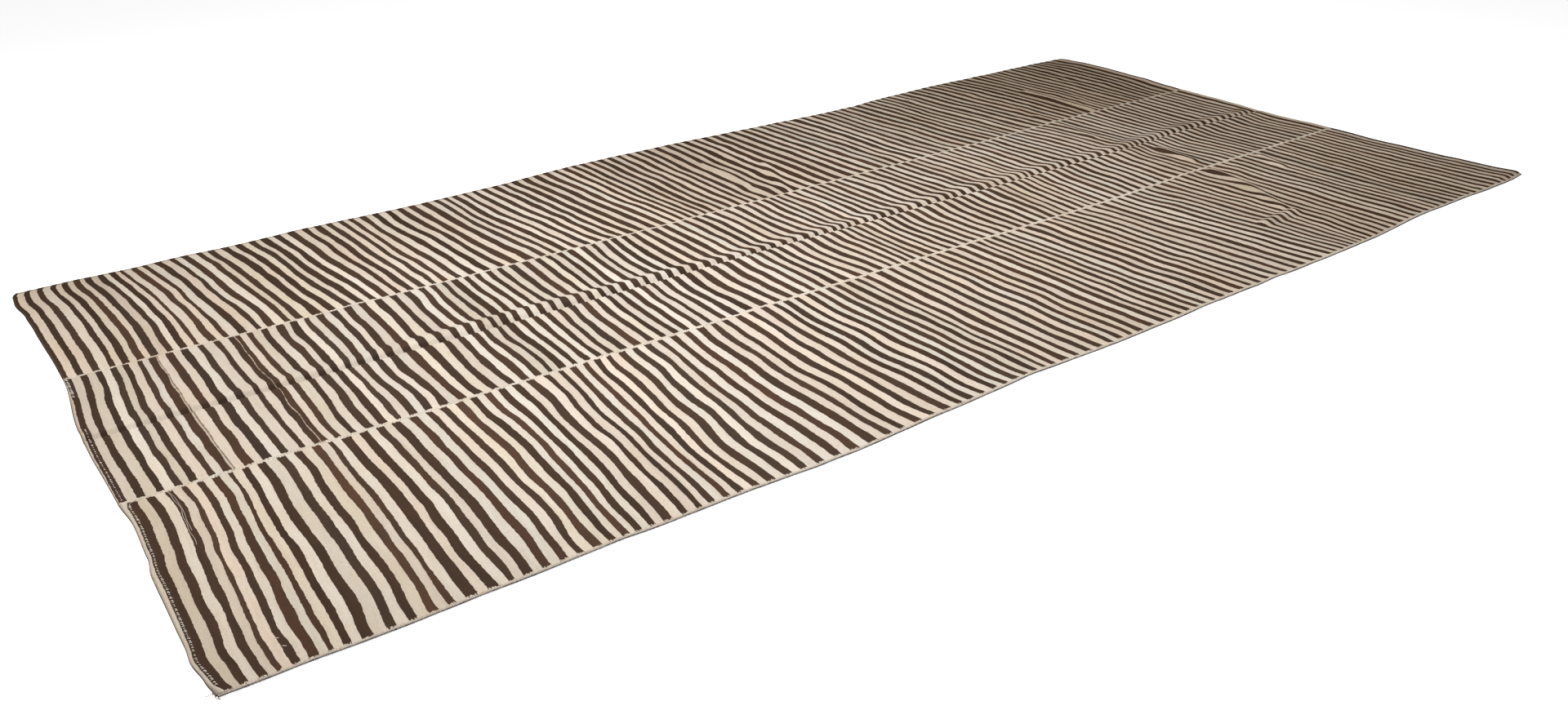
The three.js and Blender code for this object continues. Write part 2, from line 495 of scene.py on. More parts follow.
@dataclass(frozen=True)
class StripeOrder:
    """The order and the widths of one strip's stripes, from its left end.

    Attributes:
        count: How many stripes there are.
        opening: The wool of the first one.
        first: The widths of the first stripes, which are seen best.
        last: The width of the last stripe.
        brown: The usual width of a brown stripe.
        ivory: The usual width of an ivory stripe.
        spread: How much the widths stray.
        seed: The seed of the other widths.
        shade_salt: What is added to it for the seed of the shades.
        most: How many spreads a width strays at most.
        thin: Stripes narrower than this are half of mixed wool.
        mixed: The colour of that wool.
    """

    count: int
    opening: Wool
    first: tuple[float, ...]
    last: float
    brown: float
    ivory: float
    spread: float
    seed: int
    shade_salt: int = 100
    most: float = 1.9
    thin: float = 5.0
    mixed: Colour = (170, 150, 130)

    def wools(self) -> list[Wool]:
        """Lists the stripes' wools in order."""
        return [self.opening if k % 2 == 0 else self.opening.other() for k in range(self.count)]

    def borders(self) -> np.ndarray:
        """Works out where the stripes meet.

        Returns:
            The places of the stripes' borders, from 0 to the cloth's length.
        """
        random = np.random.default_rng(self.seed)
        usual = {Wool.BROWN: self.brown, Wool.IVORY: self.ivory}
        means = np.array([usual[wool] for wool in self.wools()])
        widths = means + np.clip(random.normal(size=self.count), -self.most, self.most) * self.spread
        head = len(self.first)
        widths[:head] = self.first
        widths[-1] = self.last
        widths[head:-1] *= (LAY.length - sum(self.first) - self.last) / widths[head:-1].sum()
        return np.concatenate([[0.0], np.cumsum(widths)])

    def middles(self) -> np.ndarray:
        """Gives the places of the stripes' middles."""
        borders = self.borders()
        return (borders[1:] + borders[:-1]) / 2

    def shades(self) -> np.ndarray:
        """Picks each stripe's linear colour."""
        random = np.random.default_rng(self.seed + self.shade_salt)
        picked = {wool: DYES[wool].pick(self.count, random) for wool in Wool}
        shades = np.array([picked[wool][k] for k, wool in enumerate(self.wools())])
        thin = np.diff(self.borders()) < self.thin
        return np.where(thin[:, None], (shades + np.array(linear(self.mixed))) / 2, shades)


@dataclass(frozen=True)
class Course:
    """How the stripes lean and waver as they cross a strip, counted from the strip's far side.

    Attributes:
        lean: How far a stripe has moved towards the right end, part of the way and all the way across.
        seed: What is added to the seeds of the strip's own waves.
        part_way: The share of the way across that the lean's first column stands at.
        waver: A wave that neighbouring stripes share.
        tremble: A smaller one that only a few stripes share.
        swelling: How each border strays by itself, which makes stripes swell and narrow.
        hem: The first stripe's width across the strip, by the share of the way from its near side.
        settle: How far from an end the smaller waves die out.
        calm: How far from the left end the shared wave dies out.
        hem_fade: How far from the first stripe its taper pushes the others.
    """

    lean: Table
    seed: int
    waver: Sway = Sway(seed=1, along=260, across=230, size=2.4)
    tremble: Sway = Sway(seed=2, along=70, across=110, size=0.6)
    swelling: Sway = Sway(seed=3, along=12, across=100, size=0.75)
    part_way: float = 0.5
    hem: Table | None = None
    settle: float = 70.0
    calm: float = 500.0
    hem_fade: float = 40.0

    def shift(self, cloth: np.ndarray, share: np.ndarray, across: np.ndarray, hem: float) -> np.ndarray:
        """Gives how far the weave has moved along the rug.

        Args:
            cloth: Places along the woven strip.
            share: Places across it, from 0 at its near side to 1 at its far one.
            across: The same places in millimetres.
            hem: The first stripe's woven width.

        Returns:
            The move at each place.
        """
        way = 1 - share
        part, whole = self.lean.flow(cloth, "part"), self.lean.flow(cloth, "whole")
        bow = (whole * self.part_way - part) / (self.part_way - self.part_way**2)
        leaned = (whole - bow) * way + bow * way**2
        end = smooth(cloth / self.settle) * smooth((LAY.length - cloth) / self.settle)
        waver, tremble, swelling = (
            sway.at(cloth, across, self.seed) for sway in (self.waver, self.tremble, self.swelling)
        )
        moved = leaned + (tremble + swelling) * end + waver * end * smooth(cloth / self.calm)
        if self.hem is not None:
            wanted = self.hem.read(share, "width") - hem
            moved = moved + wanted * np.minimum(cloth / hem, 1) * smooth(1 - (cloth - hem) / self.hem_fade)
        return moved


def lean_table(parts: tuple[float, ...], wholes: tuple[float, ...], first: float = 116.0,
               last: float = 3998.0) -> Table:
    """Makes a lean table with rows at even steps, and no lean at the two ends.

    Args:
        parts: The lean part of the way across, from the left to the right.
        wholes: The lean all the way across.
        first: The place of the first of these rows.
        last: The place of the last one.

    Returns:
        The table.
    """
    stations = np.linspace(first, last, len(parts)).tolist()
    rows = ((0.0, 0.0, 0.0), *zip(stations, parts, wholes), (LAY.length, 0.0, 0.0))
    return Table(("along", "part", "whole"), rows)


def new_mesh(name: str, points: np.ndarray, faces: np.ndarray) -> bpy.types.Mesh:
    """Makes a smooth mesh of four-sided faces.

    Args:
        name: The mesh's name.
        points: The points, one row of x, y and z for each, in metres.
        faces: The numbers of each face's four points, counter-clockwise from outside.

    Returns:
        The new mesh.
    """
    mesh = bpy.data.meshes.new(name)
    mesh.vertices.add(len(points))
    mesh.vertices.foreach_set("co", points.astype(np.float32).ravel())
    mesh.loops.add(faces.size)
    mesh.loops.foreach_set("vertex_index", faces.astype(np.int32).ravel())
    mesh.polygons.add(len(faces))
    mesh.polygons.foreach_set("loop_start", np.arange(0, faces.size, 4, dtype=np.int32))
    mesh.update(calc_edges=True)
    mesh.validate()
    mesh.shade_smooth()
    return mesh


def show(name: str, mesh: bpy.types.Mesh, finish: bpy.types.Material | None = None) -> bpy.types.Object:
    """Puts a mesh into the scene as an object at the origin.

    Args:
        name: The object's name.
        mesh: Its mesh.
        finish: Its material, unless the mesh already holds one.

    Returns:
        The new object.
    """
    shown = bpy.data.objects.new(name, mesh)
    bpy.context.scene.collection.objects.link(shown)
    if finish is not None:
        mesh.materials.clear()
        mesh.materials.append(finish)
    return shown


def set_values(mesh: bpy.types.Mesh, name: str, domain: str, values: np.ndarray) -> None:
    """Stores a number or a colour for each point or face of a mesh.

    Args:
        mesh: The mesh.
        name: The attribute's name.
        domain: POINT or FACE.
        values: One number, or one row of three, for each point or face.
    """
    vector = values.ndim == 2
    attribute = mesh.attributes.new(name, "FLOAT_VECTOR" if vector else "FLOAT", domain)
    attribute.data.foreach_set("vector" if vector else "value", values.astype(np.float32).ravel())


class Tree:
    """Adds nodes to one node tree and joins them."""

    def __init__(self, tree: bpy.types.NodeTree) -> None:
        """Keeps the tree that the nodes go into."""
        self.tree = tree

    def put(self, target: Socket, value: Value) -> None:
        """Joins a socket to an input, or sets the input's own value."""
        if isinstance(value, Socket):
            self.tree.links.new(value, target)
        else:
            target.default_value = value

    def feed(self, node: bpy.types.Node, *values: Value) -> Socket:
        """Fills a node's first inputs in their order and gives its first output in use."""
        for target, value in zip(node.inputs, values):
            self.put(target, value)
        return next(made for made in node.outputs if made.enabled)

    def fill(self, node: bpy.types.Node, **inputs: Value) -> None:
        """Fills a node's inputs by name, with _ for a space."""
        for key, value in inputs.items():
            wanted = key.replace("_", " ")
            self.put(next(s for s in node.inputs if s.name == wanted and s.enabled), value)

    def add(self, kind: str, settings: dict | None = None, **inputs: Value) -> bpy.types.Node:
        """Adds a node.

        Args:
            kind: Blender's name for the node's type.
            settings: The node's own properties.
            **inputs: Values or sockets for its inputs, by name, with _ for a space.

        Returns:
            The new node.
        """
        node = self.tree.nodes.new(kind)
        for key, value in (settings or {}).items():
            setattr(node, key, value)
        self.fill(node, **inputs)
        return node

    def made(self, kind: str, settings: dict | None = None, **inputs: Value) -> Socket:
        """Adds a node in the same way and gives its first output in use."""
        return self.feed(self.add(kind, settings, **inputs))

    def math(self, operation: str, *values: Value, clamp: bool = False) -> Socket:
        """Adds a Math node and gives its result."""
        return self.feed(self.add("ShaderNodeMath", {"operation": operation, "use_clamp": clamp}), *values)

    def vector(self, operation: str, *values: Value) -> Socket:
        """Adds a Vector Math node and gives its vector."""
        return self.feed(self.add("ShaderNodeVectorMath", {"operation": operation}), *values)

    def scaled(self, vector: Socket, factor: Value) -> Socket:
        """Makes a vector or a colour larger by a factor."""
        return self.made("ShaderNodeVectorMath", {"operation": "SCALE"}, Vector=vector, Scale=factor)

    def wind(self, place: Socket, scale: Colour) -> Socket:
        """Stretches a place by a factor for each axis."""
        return self.vector("MULTIPLY", place, scale)

    def combined(self, x: Value = 0.0, y: Value = 0.0, z: Value = 0.0) -> Socket:
        """Makes a vector of three numbers."""
        return self.made("ShaderNodeCombineXYZ", X=x, Y=y, Z=z)

    def part(self, vector: Socket, axis: str) -> Socket:
        """Gives one number of a vector."""
        return self.add("ShaderNodeSeparateXYZ", Vector=vector).outputs[axis]

    def spread(self, value: Socket, low: float, high: float, to_low: float = 0.0,
               to_high: float = 1.0) -> Socket:
        """Stretches a range of values onto another one, and holds what lies outside it."""
        return self.feed(self.add("ShaderNodeMapRange", {"clamp": True}), value, low, high, to_low, to_high)

    def astray(self, chance: Socket, size: Value) -> Socket:
        """Turns a chance from 0 to 1 into a stray to either side, that large from end to end."""
        return self.math("MULTIPLY", self.math("SUBTRACT", chance, 0.5), size)

    def mix(self, share: Value, first: Value, second: Value, blend: str = "MIX") -> Socket:
        """Mixes two colours and gives the result."""
        settings = {"data_type": "RGBA", "blend_type": blend}
        return self.made("ShaderNodeMix", settings, Factor=share, A=first, B=second)

    def lighten(self, colour: Socket, change: Socket) -> Socket:
        """Makes a colour lighter or darker by a small share of itself."""
        return self.scaled(colour, self.math("ADD", change, 1.0))

    def noise(self, place: Socket, scale: float, detail: float = 2.0) -> Socket:
        """Adds a Noise Texture and gives its value, usually 0.3 to 0.7."""
        return self.made("ShaderNodeTexNoise", Vector=place, Scale=scale, Detail=detail, Roughness=0.55)

    def attribute(self, name: str, part: str = "Fac") -> Socket:
        """Gives what the mesh stores under a name, as a number or as its Color."""
        return self.add("ShaderNodeAttribute", {"attribute_name": name}).outputs[part]

    def group(self, shared: bpy.types.NodeTree, **inputs: Value) -> "bpy.types.NodeOutputs":
        """Adds a shared shader group and gives its outputs."""
        return self.add("ShaderNodeGroup", {"node_tree": shared}, **inputs).outputs

    def relief(self, height: Socket, depth: float) -> Socket:
        """Gives the slope of a relief of that depth, in millimetres, to shade a surface by."""
        return self.made("ShaderNodeBump", Height=height, Distance=depth * MM, Strength=1.0)


class Group(Tree):
    """A node group with named inputs and outputs.

    Attributes:
        given: The sockets that its inputs come from.
        result: The node that its outputs go to.
    """

    def __init__(self, name: str, inputs: dict[str, str | float], outputs: dict[str, str],
                 kind: str = "ShaderNodeTree") -> None:
        """Starts the group.

        Args:
            name: The group's name.
            inputs: Its inputs, each with its type, or with the number that it has until it is set.
            outputs: Its outputs, each with its type.
            kind: The type of tree.
        """
        group = bpy.data.node_groups.new(name, kind)
        for direction, sockets in (("INPUT", inputs), ("OUTPUT", outputs)):
            for title, held in sockets.items():
                is_preset = not isinstance(held, str)
                socket_type = f"NodeSocket{'Float' if is_preset else held}"
                made = group.interface.new_socket(title, in_out=direction, socket_type=socket_type)
                if is_preset:
                    made.default_value = held
        super().__init__(group)
        self.given = self.add("NodeGroupInput").outputs
        self.result = self.add("NodeGroupOutput")


def weft_faced_weave() -> bpy.types.NodeTree:
    """Builds the weave: weft yarns packed tightly over and under the hidden warps.

    Its place is in millimetres, x across the wefts and y along them. Each weft shows as a row of short
    floats, one for each warp that it passes over, and the next row's floats lie between them.

    Returns:
        A group that puts out the height of the floats, their shade, how far a stripe's border strays
        from one float to the next, and how far the wefts do at a strip's side. Their shade is a random tone
        for each float, with painted shade in the dips between the floats.
    """
    tree = Group(
        "weft_faced_weave",
        {
            "Place": "Vector", "Weft Pitch": 1.05, "Warp Pitch": 2.7, "Pull": 1.5, "Float Shades": 0.12,
            "Strand Stray": 0.6, "Swerve": 3.4, "Wefts Together": 1.5, "Fray Stray": 2.0,
        },
        {"Height": "Float", "Shade": "Float", "Ravel": "Float", "Fray": "Float"},
    )
    given = tree.given
    pull = tree.add("ShaderNodeTexNoise", Vector=given["Place"], Scale=0.22, Detail=2.0).outputs["Color"]
    pulled = tree.scaled(tree.vector("SUBTRACT", pull, (0.5, 0.5, 0.5)), given["Pull"])
    place = tree.vector("ADD", given["Place"], pulled)
    weft = tree.math("DIVIDE", tree.part(place, "X"), given["Weft Pitch"])
    row = tree.math("FLOOR", weft)
    stagger = tree.math("MULTIPLY", tree.math("FLOORED_MODULO", row, 2.0), 0.5)
    warp = tree.math("ADD", tree.math("DIVIDE", tree.part(place, "Y"), given["Warp Pitch"]), stagger)
    column = tree.math("FLOOR", warp)
    round_yarn, over_warp = (
        tree.math("SINE", tree.math("MULTIPLY", tree.math("FRACT", count), math.pi))
        for count in (weft, warp)
    )
    arched = tree.math("MULTIPLY_ADD", over_warp, 0.65, 0.35)
    height = tree.math("MULTIPLY", tree.math("POWER", round_yarn, 0.6), arched)
    chance = tree.made("ShaderNodeTexWhiteNoise", Vector=tree.combined(row, column))
    strand, pick = (
        tree.made("ShaderNodeTexWhiteNoise", {"noise_dimensions": "1D"}, W=number)
        for number in (column, tree.math("FLOOR", tree.math("DIVIDE", weft, given["Wefts Together"])))
    )
    swerve = tree.astray(tree.noise(given["Place"], 0.06, 1.0), given["Swerve"])
    shade = tree.astray(chance, given["Float Shades"])
    tree.fill(
        tree.result,
        Height=height,
        # Painted shade: the dips between the floats are darkened, beside each float's own random tone.
        Shade=tree.math("ADD", shade, tree.spread(height, 0.0, 0.6, -0.2, 0.02)),
        Ravel=tree.math("ADD", swerve, tree.astray(strand, given["Strand Stray"])),
        Fray=tree.astray(pick, given["Fray Stray"]),
    )
    return tree.tree


def wool_grain() -> bpy.types.NodeTree:
    """Builds the unevenness of hand-spun wool: streaks along the yarn and slow changes of shade.

    Its place is in millimetres, with y along the yarn.

    Returns:
        A group that puts out the change of lightness, a slow drift from 0 to 1, and small lumps.
    """
    tree = Group(
        "wool_grain",
        {"Place": "Vector", "Strength": 0.16},
        {"Shade": "Float", "Drift": "Float", "Lumps": "Float"},
    )
    place, strength = tree.given["Place"], tree.given["Strength"]
    fine = tree.noise(tree.wind(place, (1.0, 0.22, 1.0)), 0.55, 3.0)
    streak = tree.noise(tree.wind(place, (1.0, 0.06, 1.0)), 0.16)
    slow = tree.noise(tree.wind(place, (1.0, 0.3, 1.0)), 0.03)
    tree.fill(
        tree.result,
        Shade=tree.math("ADD", tree.astray(fine, strength), tree.astray(streak, strength)),
        Drift=tree.spread(slow, 0.34, 0.66),
        Lumps=tree.noise(place, 0.35),
    )
    return tree.tree


def soil_and_wear() -> bpy.types.NodeTree:
    """Builds the faint soil of long use, in soft clouds with a few specks.

    Its place is in metres.

    Returns:
        A group that puts out a mask of the soil and the roughness of the wool.
    """
    inputs = {"Place": "Vector", "Amount": 0.3, "Clouds": 0.6, "Specks": 0.7}
    tree = Group("soil_and_wear", inputs, {"Soil": "Float", "Roughness": "Float"})
    clouds = tree.spread(tree.noise(tree.given["Place"], 2.2, 4.0), 0.42, 0.7)
    specks = tree.spread(tree.noise(tree.given["Place"], 95.0, 1.0), 0.7, 0.76)
    specks = tree.math("MULTIPLY", specks, tree.given["Specks"])
    dirt_and_painted_shade = tree.math("MULTIPLY_ADD", clouds, tree.given["Clouds"], specks)
    soil = tree.math("MULTIPLY", dirt_and_painted_shade, tree.given["Amount"], clamp=True)
    tree.fill(tree.result, Soil=soil, Roughness=tree.math("MULTIPLY_ADD", soil, -0.12, 0.95))
    return tree.tree


def plied_yarn() -> bpy.types.NodeTree:
    """Builds the twist of a two-ply sewing yarn.

    Its length is in metres and its turn in parts of a whole turn round the yarn.

    Returns:
        A group that puts out the height of the plies and the painted shade in the grooves between them.
    """
    inputs = {"Length": "Float", "Turn": "Float", "Lay": 0.004}
    tree = Group("plied_yarn", inputs, {"Height": "Float", "Shade": "Float"})
    turns = tree.math("DIVIDE", tree.given["Length"], tree.given["Lay"])
    angle = tree.math("MULTIPLY", tree.math("ADD", turns, tree.given["Turn"]), math.tau * 2)
    height = tree.math("MULTIPLY_ADD", tree.math("SINE", angle), 0.5, 0.5)
    # Painted shade: the grooves between the plies are darkened.
    tree.fill(tree.result, Height=height, Shade=tree.spread(height, 0.0, 0.6, -0.22, 0.04))
    return tree.tree


@dataclass(frozen=True)
class Groups:
    """The shader groups that the finishes share.

    Attributes:
        weave: The weave of the cloth.
        grain: The unevenness of the wool.
        soil: The soil of long use.
        ply: The twist of the sewing yarn.
    """

    weave: bpy.types.NodeTree = field(default_factory=weft_faced_weave)
    grain: bpy.types.NodeTree = field(default_factory=wool_grain)
    soil: bpy.types.NodeTree = field(default_factory=soil_and_wear)
    ply: bpy.types.NodeTree = field(default_factory=plied_yarn)


def new_finish(name: str) -> tuple[bpy.types.Material, Tree, bpy.types.Node]:
    """Starts a material.

    Args:
        name: The material's name.

    Returns:
        The material, its node tree and its Principled BSDF.
    """
    material = bpy.data.materials.new(name)
    material.use_nodes = True
    return material, Tree(material.node_tree), material.node_tree.nodes["Principled BSDF"]


def paint(colour: Colour) -> Paint:
    """Turns a colour as seen on a screen into one that a node takes."""
    return (*linear(colour), 1.0)


@dataclass(frozen=True)
class StripedWool:
    """The finish of a woven strip: stripes of two wools in a weft-faced weave.

    Attributes:
        name: The material's name.
        weft_pitch: The width of one weft yarn.
        warp_pitch: The distance between warps.
        ravel: How far a stripe's border strays, at its most.
        border_blur: How far to each side a border's two wools mingle.
        fray: How far the edge of the pale sewing yarn strays from weft to weft.
        fray_blur: How soft that edge is.
        wools: For each wool, what the slow drift of its shade lets through of each colour at its most,
        and how much darker it is made by the shade painted beside the crease's valley.
        olive: What the olive stains let through.
        relief: The depth of the weave.
        lumps: How high the wool's lumps are beside the weave.
        soil: How soiled it is.
        rim: The colour of the worn rim of a turned end.
        sheen_tint: The colour of the wool's faint sheen.
    """

    name: str
    weft_pitch: float = 1.05
    warp_pitch: float = 2.7
    ravel: float = 0.9
    border_blur: float = 0.12
    fray: float = 2.6
    fray_blur: float = 0.4
    wools: tuple[tuple[Wool, Paint, float], ...] = (
        (Wool.BROWN, (1.2, 1.08, 1.04, 1.0), 0.5),
        (Wool.IVORY, (0.99, 0.96, 0.92, 1.0), 0.22),
    )
    olive: Paint = (0.62, 0.58, 0.36, 1.0)
    relief: float = 0.35
    lumps: float = 0.8
    soil: float = 0.5
    # rim: The grey colour of the shade painted on the rounded rim of a turned end.
    rim: Colour = (104, 92, 80)
    sheen_tint: Paint = (1.0, 0.82, 0.66, 1.0)

    def make(self, groups: Groups) -> bpy.types.Material:
        """Builds the material.

        Args:
            groups: The shared shader groups.

        Returns:
            The finished material.
        """
        material, tree, surface = new_finish(self.name)
        cloth = tree.wind(tree.made("ShaderNodeUVMap", {"uv_map": "cloth"}), (1 / MM,) * 3)
        room = tree.add("ShaderNodeTexCoord").outputs["Object"]
        weave = tree.group(groups.weave, Place=cloth, Weft_Pitch=self.weft_pitch,
                           Warp_Pitch=self.warp_pitch)
        grain = tree.group(groups.grain, Place=cloth)
        soil = tree.group(groups.soil, Place=room, Amount=self.soil)
        ravelled = tree.math("MULTIPLY_ADD", weave["Ravel"], self.ravel, tree.attribute("border"))
        is_ivory = tree.spread(ravelled, -self.border_blur, self.border_blur)
        frayed = tree.math("MULTIPLY_ADD", weave["Fray"], self.fray, tree.attribute("side"))
        is_sewn = tree.spread(frayed, 0.0, self.fray_blur, 1.0, 0.0)
        # Painted shade: each wool is darkened beside the crease's valley, where shade falls.
        painted_crease_shade, dyed = tree.attribute("painted_crease_shade"), []
        for wool, drift, darkening in self.wools:
            drifted = tree.mix(grain["Drift"], tree.attribute(wool.value, "Color"), drift, "MULTIPLY")
            dyed.append(tree.lighten(drifted, tree.math("MULTIPLY", painted_crease_shade, -darkening)))
        woven = tree.mix(tree.math("MAXIMUM", is_ivory, is_sewn), *dyed)
        shaded = tree.lighten(woven, tree.math("ADD", weave["Shade"], grain["Shade"]))
        soiled = tree.mix(soil["Soil"], shaded, SOILED, "MULTIPLY")
        # Lighter or darker, and warmer, along each strip, as its table gives.
        toned = tree.mix(1.0, soiled, tree.attribute("cast", "Color"), "MULTIPLY")
        stained = tree.mix(tree.attribute("olive"), toned, self.olive, "MULTIPLY")
        height = tree.math("MULTIPLY_ADD", grain["Lumps"], self.lumps, weave["Height"])
        tree.fill(
            surface,
            # Painted shade: the rounded rim of a turned end is mixed towards a grey shade colour.
            Base_Color=tree.mix(tree.attribute("rim"), stained, paint(self.rim)),
            Roughness=soil["Roughness"],
            Normal=tree.relief(height, self.relief),
            Sheen_Weight=0.02,
            Sheen_Roughness=0.6,
            Sheen_Tint=self.sheen_tint,
            Specular_IOR_Level=0.0,
        )
        return material


@dataclass(frozen=True)
class SewingYarn:
    """The finish of a plied yarn, as in the stitches and the overcast edges.

    Attributes:
        name: The material's name.
        shade: Its colour as seen on a screen, 0 to 255.
        beside_brown: Its colour where it lies beside a brown stripe, if that differs.
        outside: How strongly shade is painted onto its outer and lower side, where that side falls in
            shade.
        dirt_and_painted_shade: The colour of that painted shade beside an ivory stripe.
        dark_painted_shade: The colour of that painted shade beside a brown stripe.
        painted_shade_side: Where that painted shade starts and is full, outwards from the yarn's middle.
        painted_shade_rise: Where it is full and ends, upwards from there.
        lay: The length of one turn of its plies.
        relief: The depth between its plies.
        grain: How uneven its wool is.
        soil: How soiled it is.
    """

    name: str
    shade: Colour
    beside_brown: Colour | None = None
    outside: float = 0.0
    dirt_and_painted_shade: Colour = (100, 92, 83)
    dark_painted_shade: Colour = (44, 36, 31)
    painted_shade_side: tuple[float, float] = (0.0, 1.3)
    painted_shade_rise: tuple[float, float] = (-0.6, 0.2)
    lay: float = 4.0
    relief: float = 0.25
    grain: float = 0.35
    soil: float = 0.35

    def make(self, groups: Groups) -> bpy.types.Material:
        """Builds the material.

        Args:
            groups: The shared shader groups.

        Returns:
            The finished material.
        """
        material, tree, surface = new_finish(self.name)
        room = tree.add("ShaderNodeTexCoord").outputs["Object"]
        length, turn, brown, side, rise = (
            tree.attribute(name)
            for name in ("yarn_length", "yarn_turn", "by_brown", "yarn_side", "yarn_rise")
        )
        ply = tree.group(groups.ply, Length=length, Turn=turn, Lay=self.lay * MM)
        grain = tree.group(groups.grain, Place=tree.wind(room, (1 / MM,) * 3), Strength=self.grain)
        soil = tree.group(groups.soil, Place=room, Amount=self.soil)
        dyed = tree.mix(brown, paint(self.shade), paint(self.beside_brown or self.shade))
        shaded = tree.lighten(dyed, tree.math("ADD", ply["Shade"], grain["Shade"]))
        soiled = tree.mix(soil["Soil"], shaded, SOILED, "MULTIPLY")
        # Painted shade: the outer and lower side of an overcast edge is darkened, darkest beside brown
        # stripes.
        outer = tree.spread(side, *(place * MM for place in self.painted_shade_side), 0.0, self.outside)
        low = tree.spread(rise, *(place * MM for place in self.painted_shade_rise), self.outside, 0.0)
        patchy = tree.spread(tree.noise(room, 22.0), 0.36, 0.6, 0.7, 1.0)
        painted_shade_mask = tree.math("MULTIPLY", tree.math("MAXIMUM", outer, low), patchy)
        dirt_and_painted_shade = tree.mix(brown, paint(self.dirt_and_painted_shade), paint(self.dark_painted_shade))
        tree.fill(
            surface,
            Base_Color=tree.mix(painted_shade_mask, soiled, dirt_and_painted_shade),
            Roughness=soil["Roughness"],
            Normal=tree.relief(ply["Height"], self.relief),
            Sheen_Weight=0.04,
            Sheen_Roughness=0.6,
            Specular_IOR_Level=0.05,
        )
        return material


@dataclass(frozen=True)
class Stains:
    """Olive and yellow stains, each a soft patch round one place.

    Attributes:
        plan: The stains' middles, how far each one reaches and how strong it is there.
    """

    plan: Table = Table(
        ("along", "across", "reach_along", "reach_across", "strength"),
        (
            (4030, 1010, 45, 40, 0.9), (3724, 444, 60, 45, 0.35), (3978, 173, 30, 30, 0.5),
            (4075, 12, 25, 25, 0.5), (3285, 452, 22, 60, 0.4), (3350, 1420, 40, 60, 0.25),
            (3900, 1500, 60, 90, 0.3),
        ),
    )

    def at(self, along: np.ndarray, across: np.ndarray) -> np.ndarray:
        """Gives how stained the cloth is at each place, from 0 to 1."""
        total = np.zeros(along.shape)
        for stain in self.plan.each():
            off_along = (along - stain["along"]) / stain["reach_along"]
            off_across = (across - stain["across"]) / stain["reach_across"]
            total = np.maximum(total, stain["strength"] * smooth(1 - np.hypot(off_along, off_across)))
        return total


STAINS = Stains()


@dataclass(frozen=True)
class Bulge:
    """A stripe that swells where a fold lifts it.

    Attributes:
        cloth: Its place along the cloth.
        across: The middle of the swelling across the rug.
        wool: The stripe's wool.
        gain: How much wider the stripe gets.
        reach: How far the swelling reaches across the rug.
        flank: How far from the stripe's middle the weave is pushed fully.
        yielding: How far along the rug its neighbours are pushed.
        calm: How far from the right end the push dies out.
    """

    cloth: float
    across: float
    wool: Wool
    gain: float
    reach: float
    flank: float = 9.0
    yielding: float = 70.0
    calm: float = 60.0

    def push(self, order: StripeOrder, cloth: np.ndarray, across: np.ndarray) -> np.ndarray:
        """Gives how far it moves the weave along the rug.

        Args:
            order: The strip's stripes.
            cloth: Places along the woven strip.
            across: Places across the rug.

        Returns:
            The move at each place.
        """
        alike = order.middles()[[wool is self.wool for wool in order.wools()]]
        offset = cloth - alike[np.abs(alike - self.cloth).argmin()]
        beside = np.tanh(offset / self.flank) * np.exp(-((offset / self.yielding) ** 2))
        fading = np.exp(-(((across - self.across) / self.reach) ** 2))
        return self.gain / 2 * beside * fading * smooth((LAY.length - cloth) / self.calm)


@dataclass(frozen=True)
class Net:
    """The net of points that a strip's cloth is made of, one column for each place along it.

    Attributes:
        cloth: Places along the woven strip.
        along: Places along the rug.
        across: Places across it.
        low: The place of the strip's near side.
        high: The place of its far side.
        upper: The points of the cloth's face.
        lower: The points of its underside.
    """

    cloth: np.ndarray
    along: np.ndarray
    across: np.ndarray
    low: np.ndarray
    high: np.ndarray
    upper: np.ndarray
    lower: np.ndarray


def on_both_faces(values: np.ndarray) -> np.ndarray:
    """Repeats a net's values for the cloth's face and for its underside."""
    return np.tile(values.ravel(), 2)


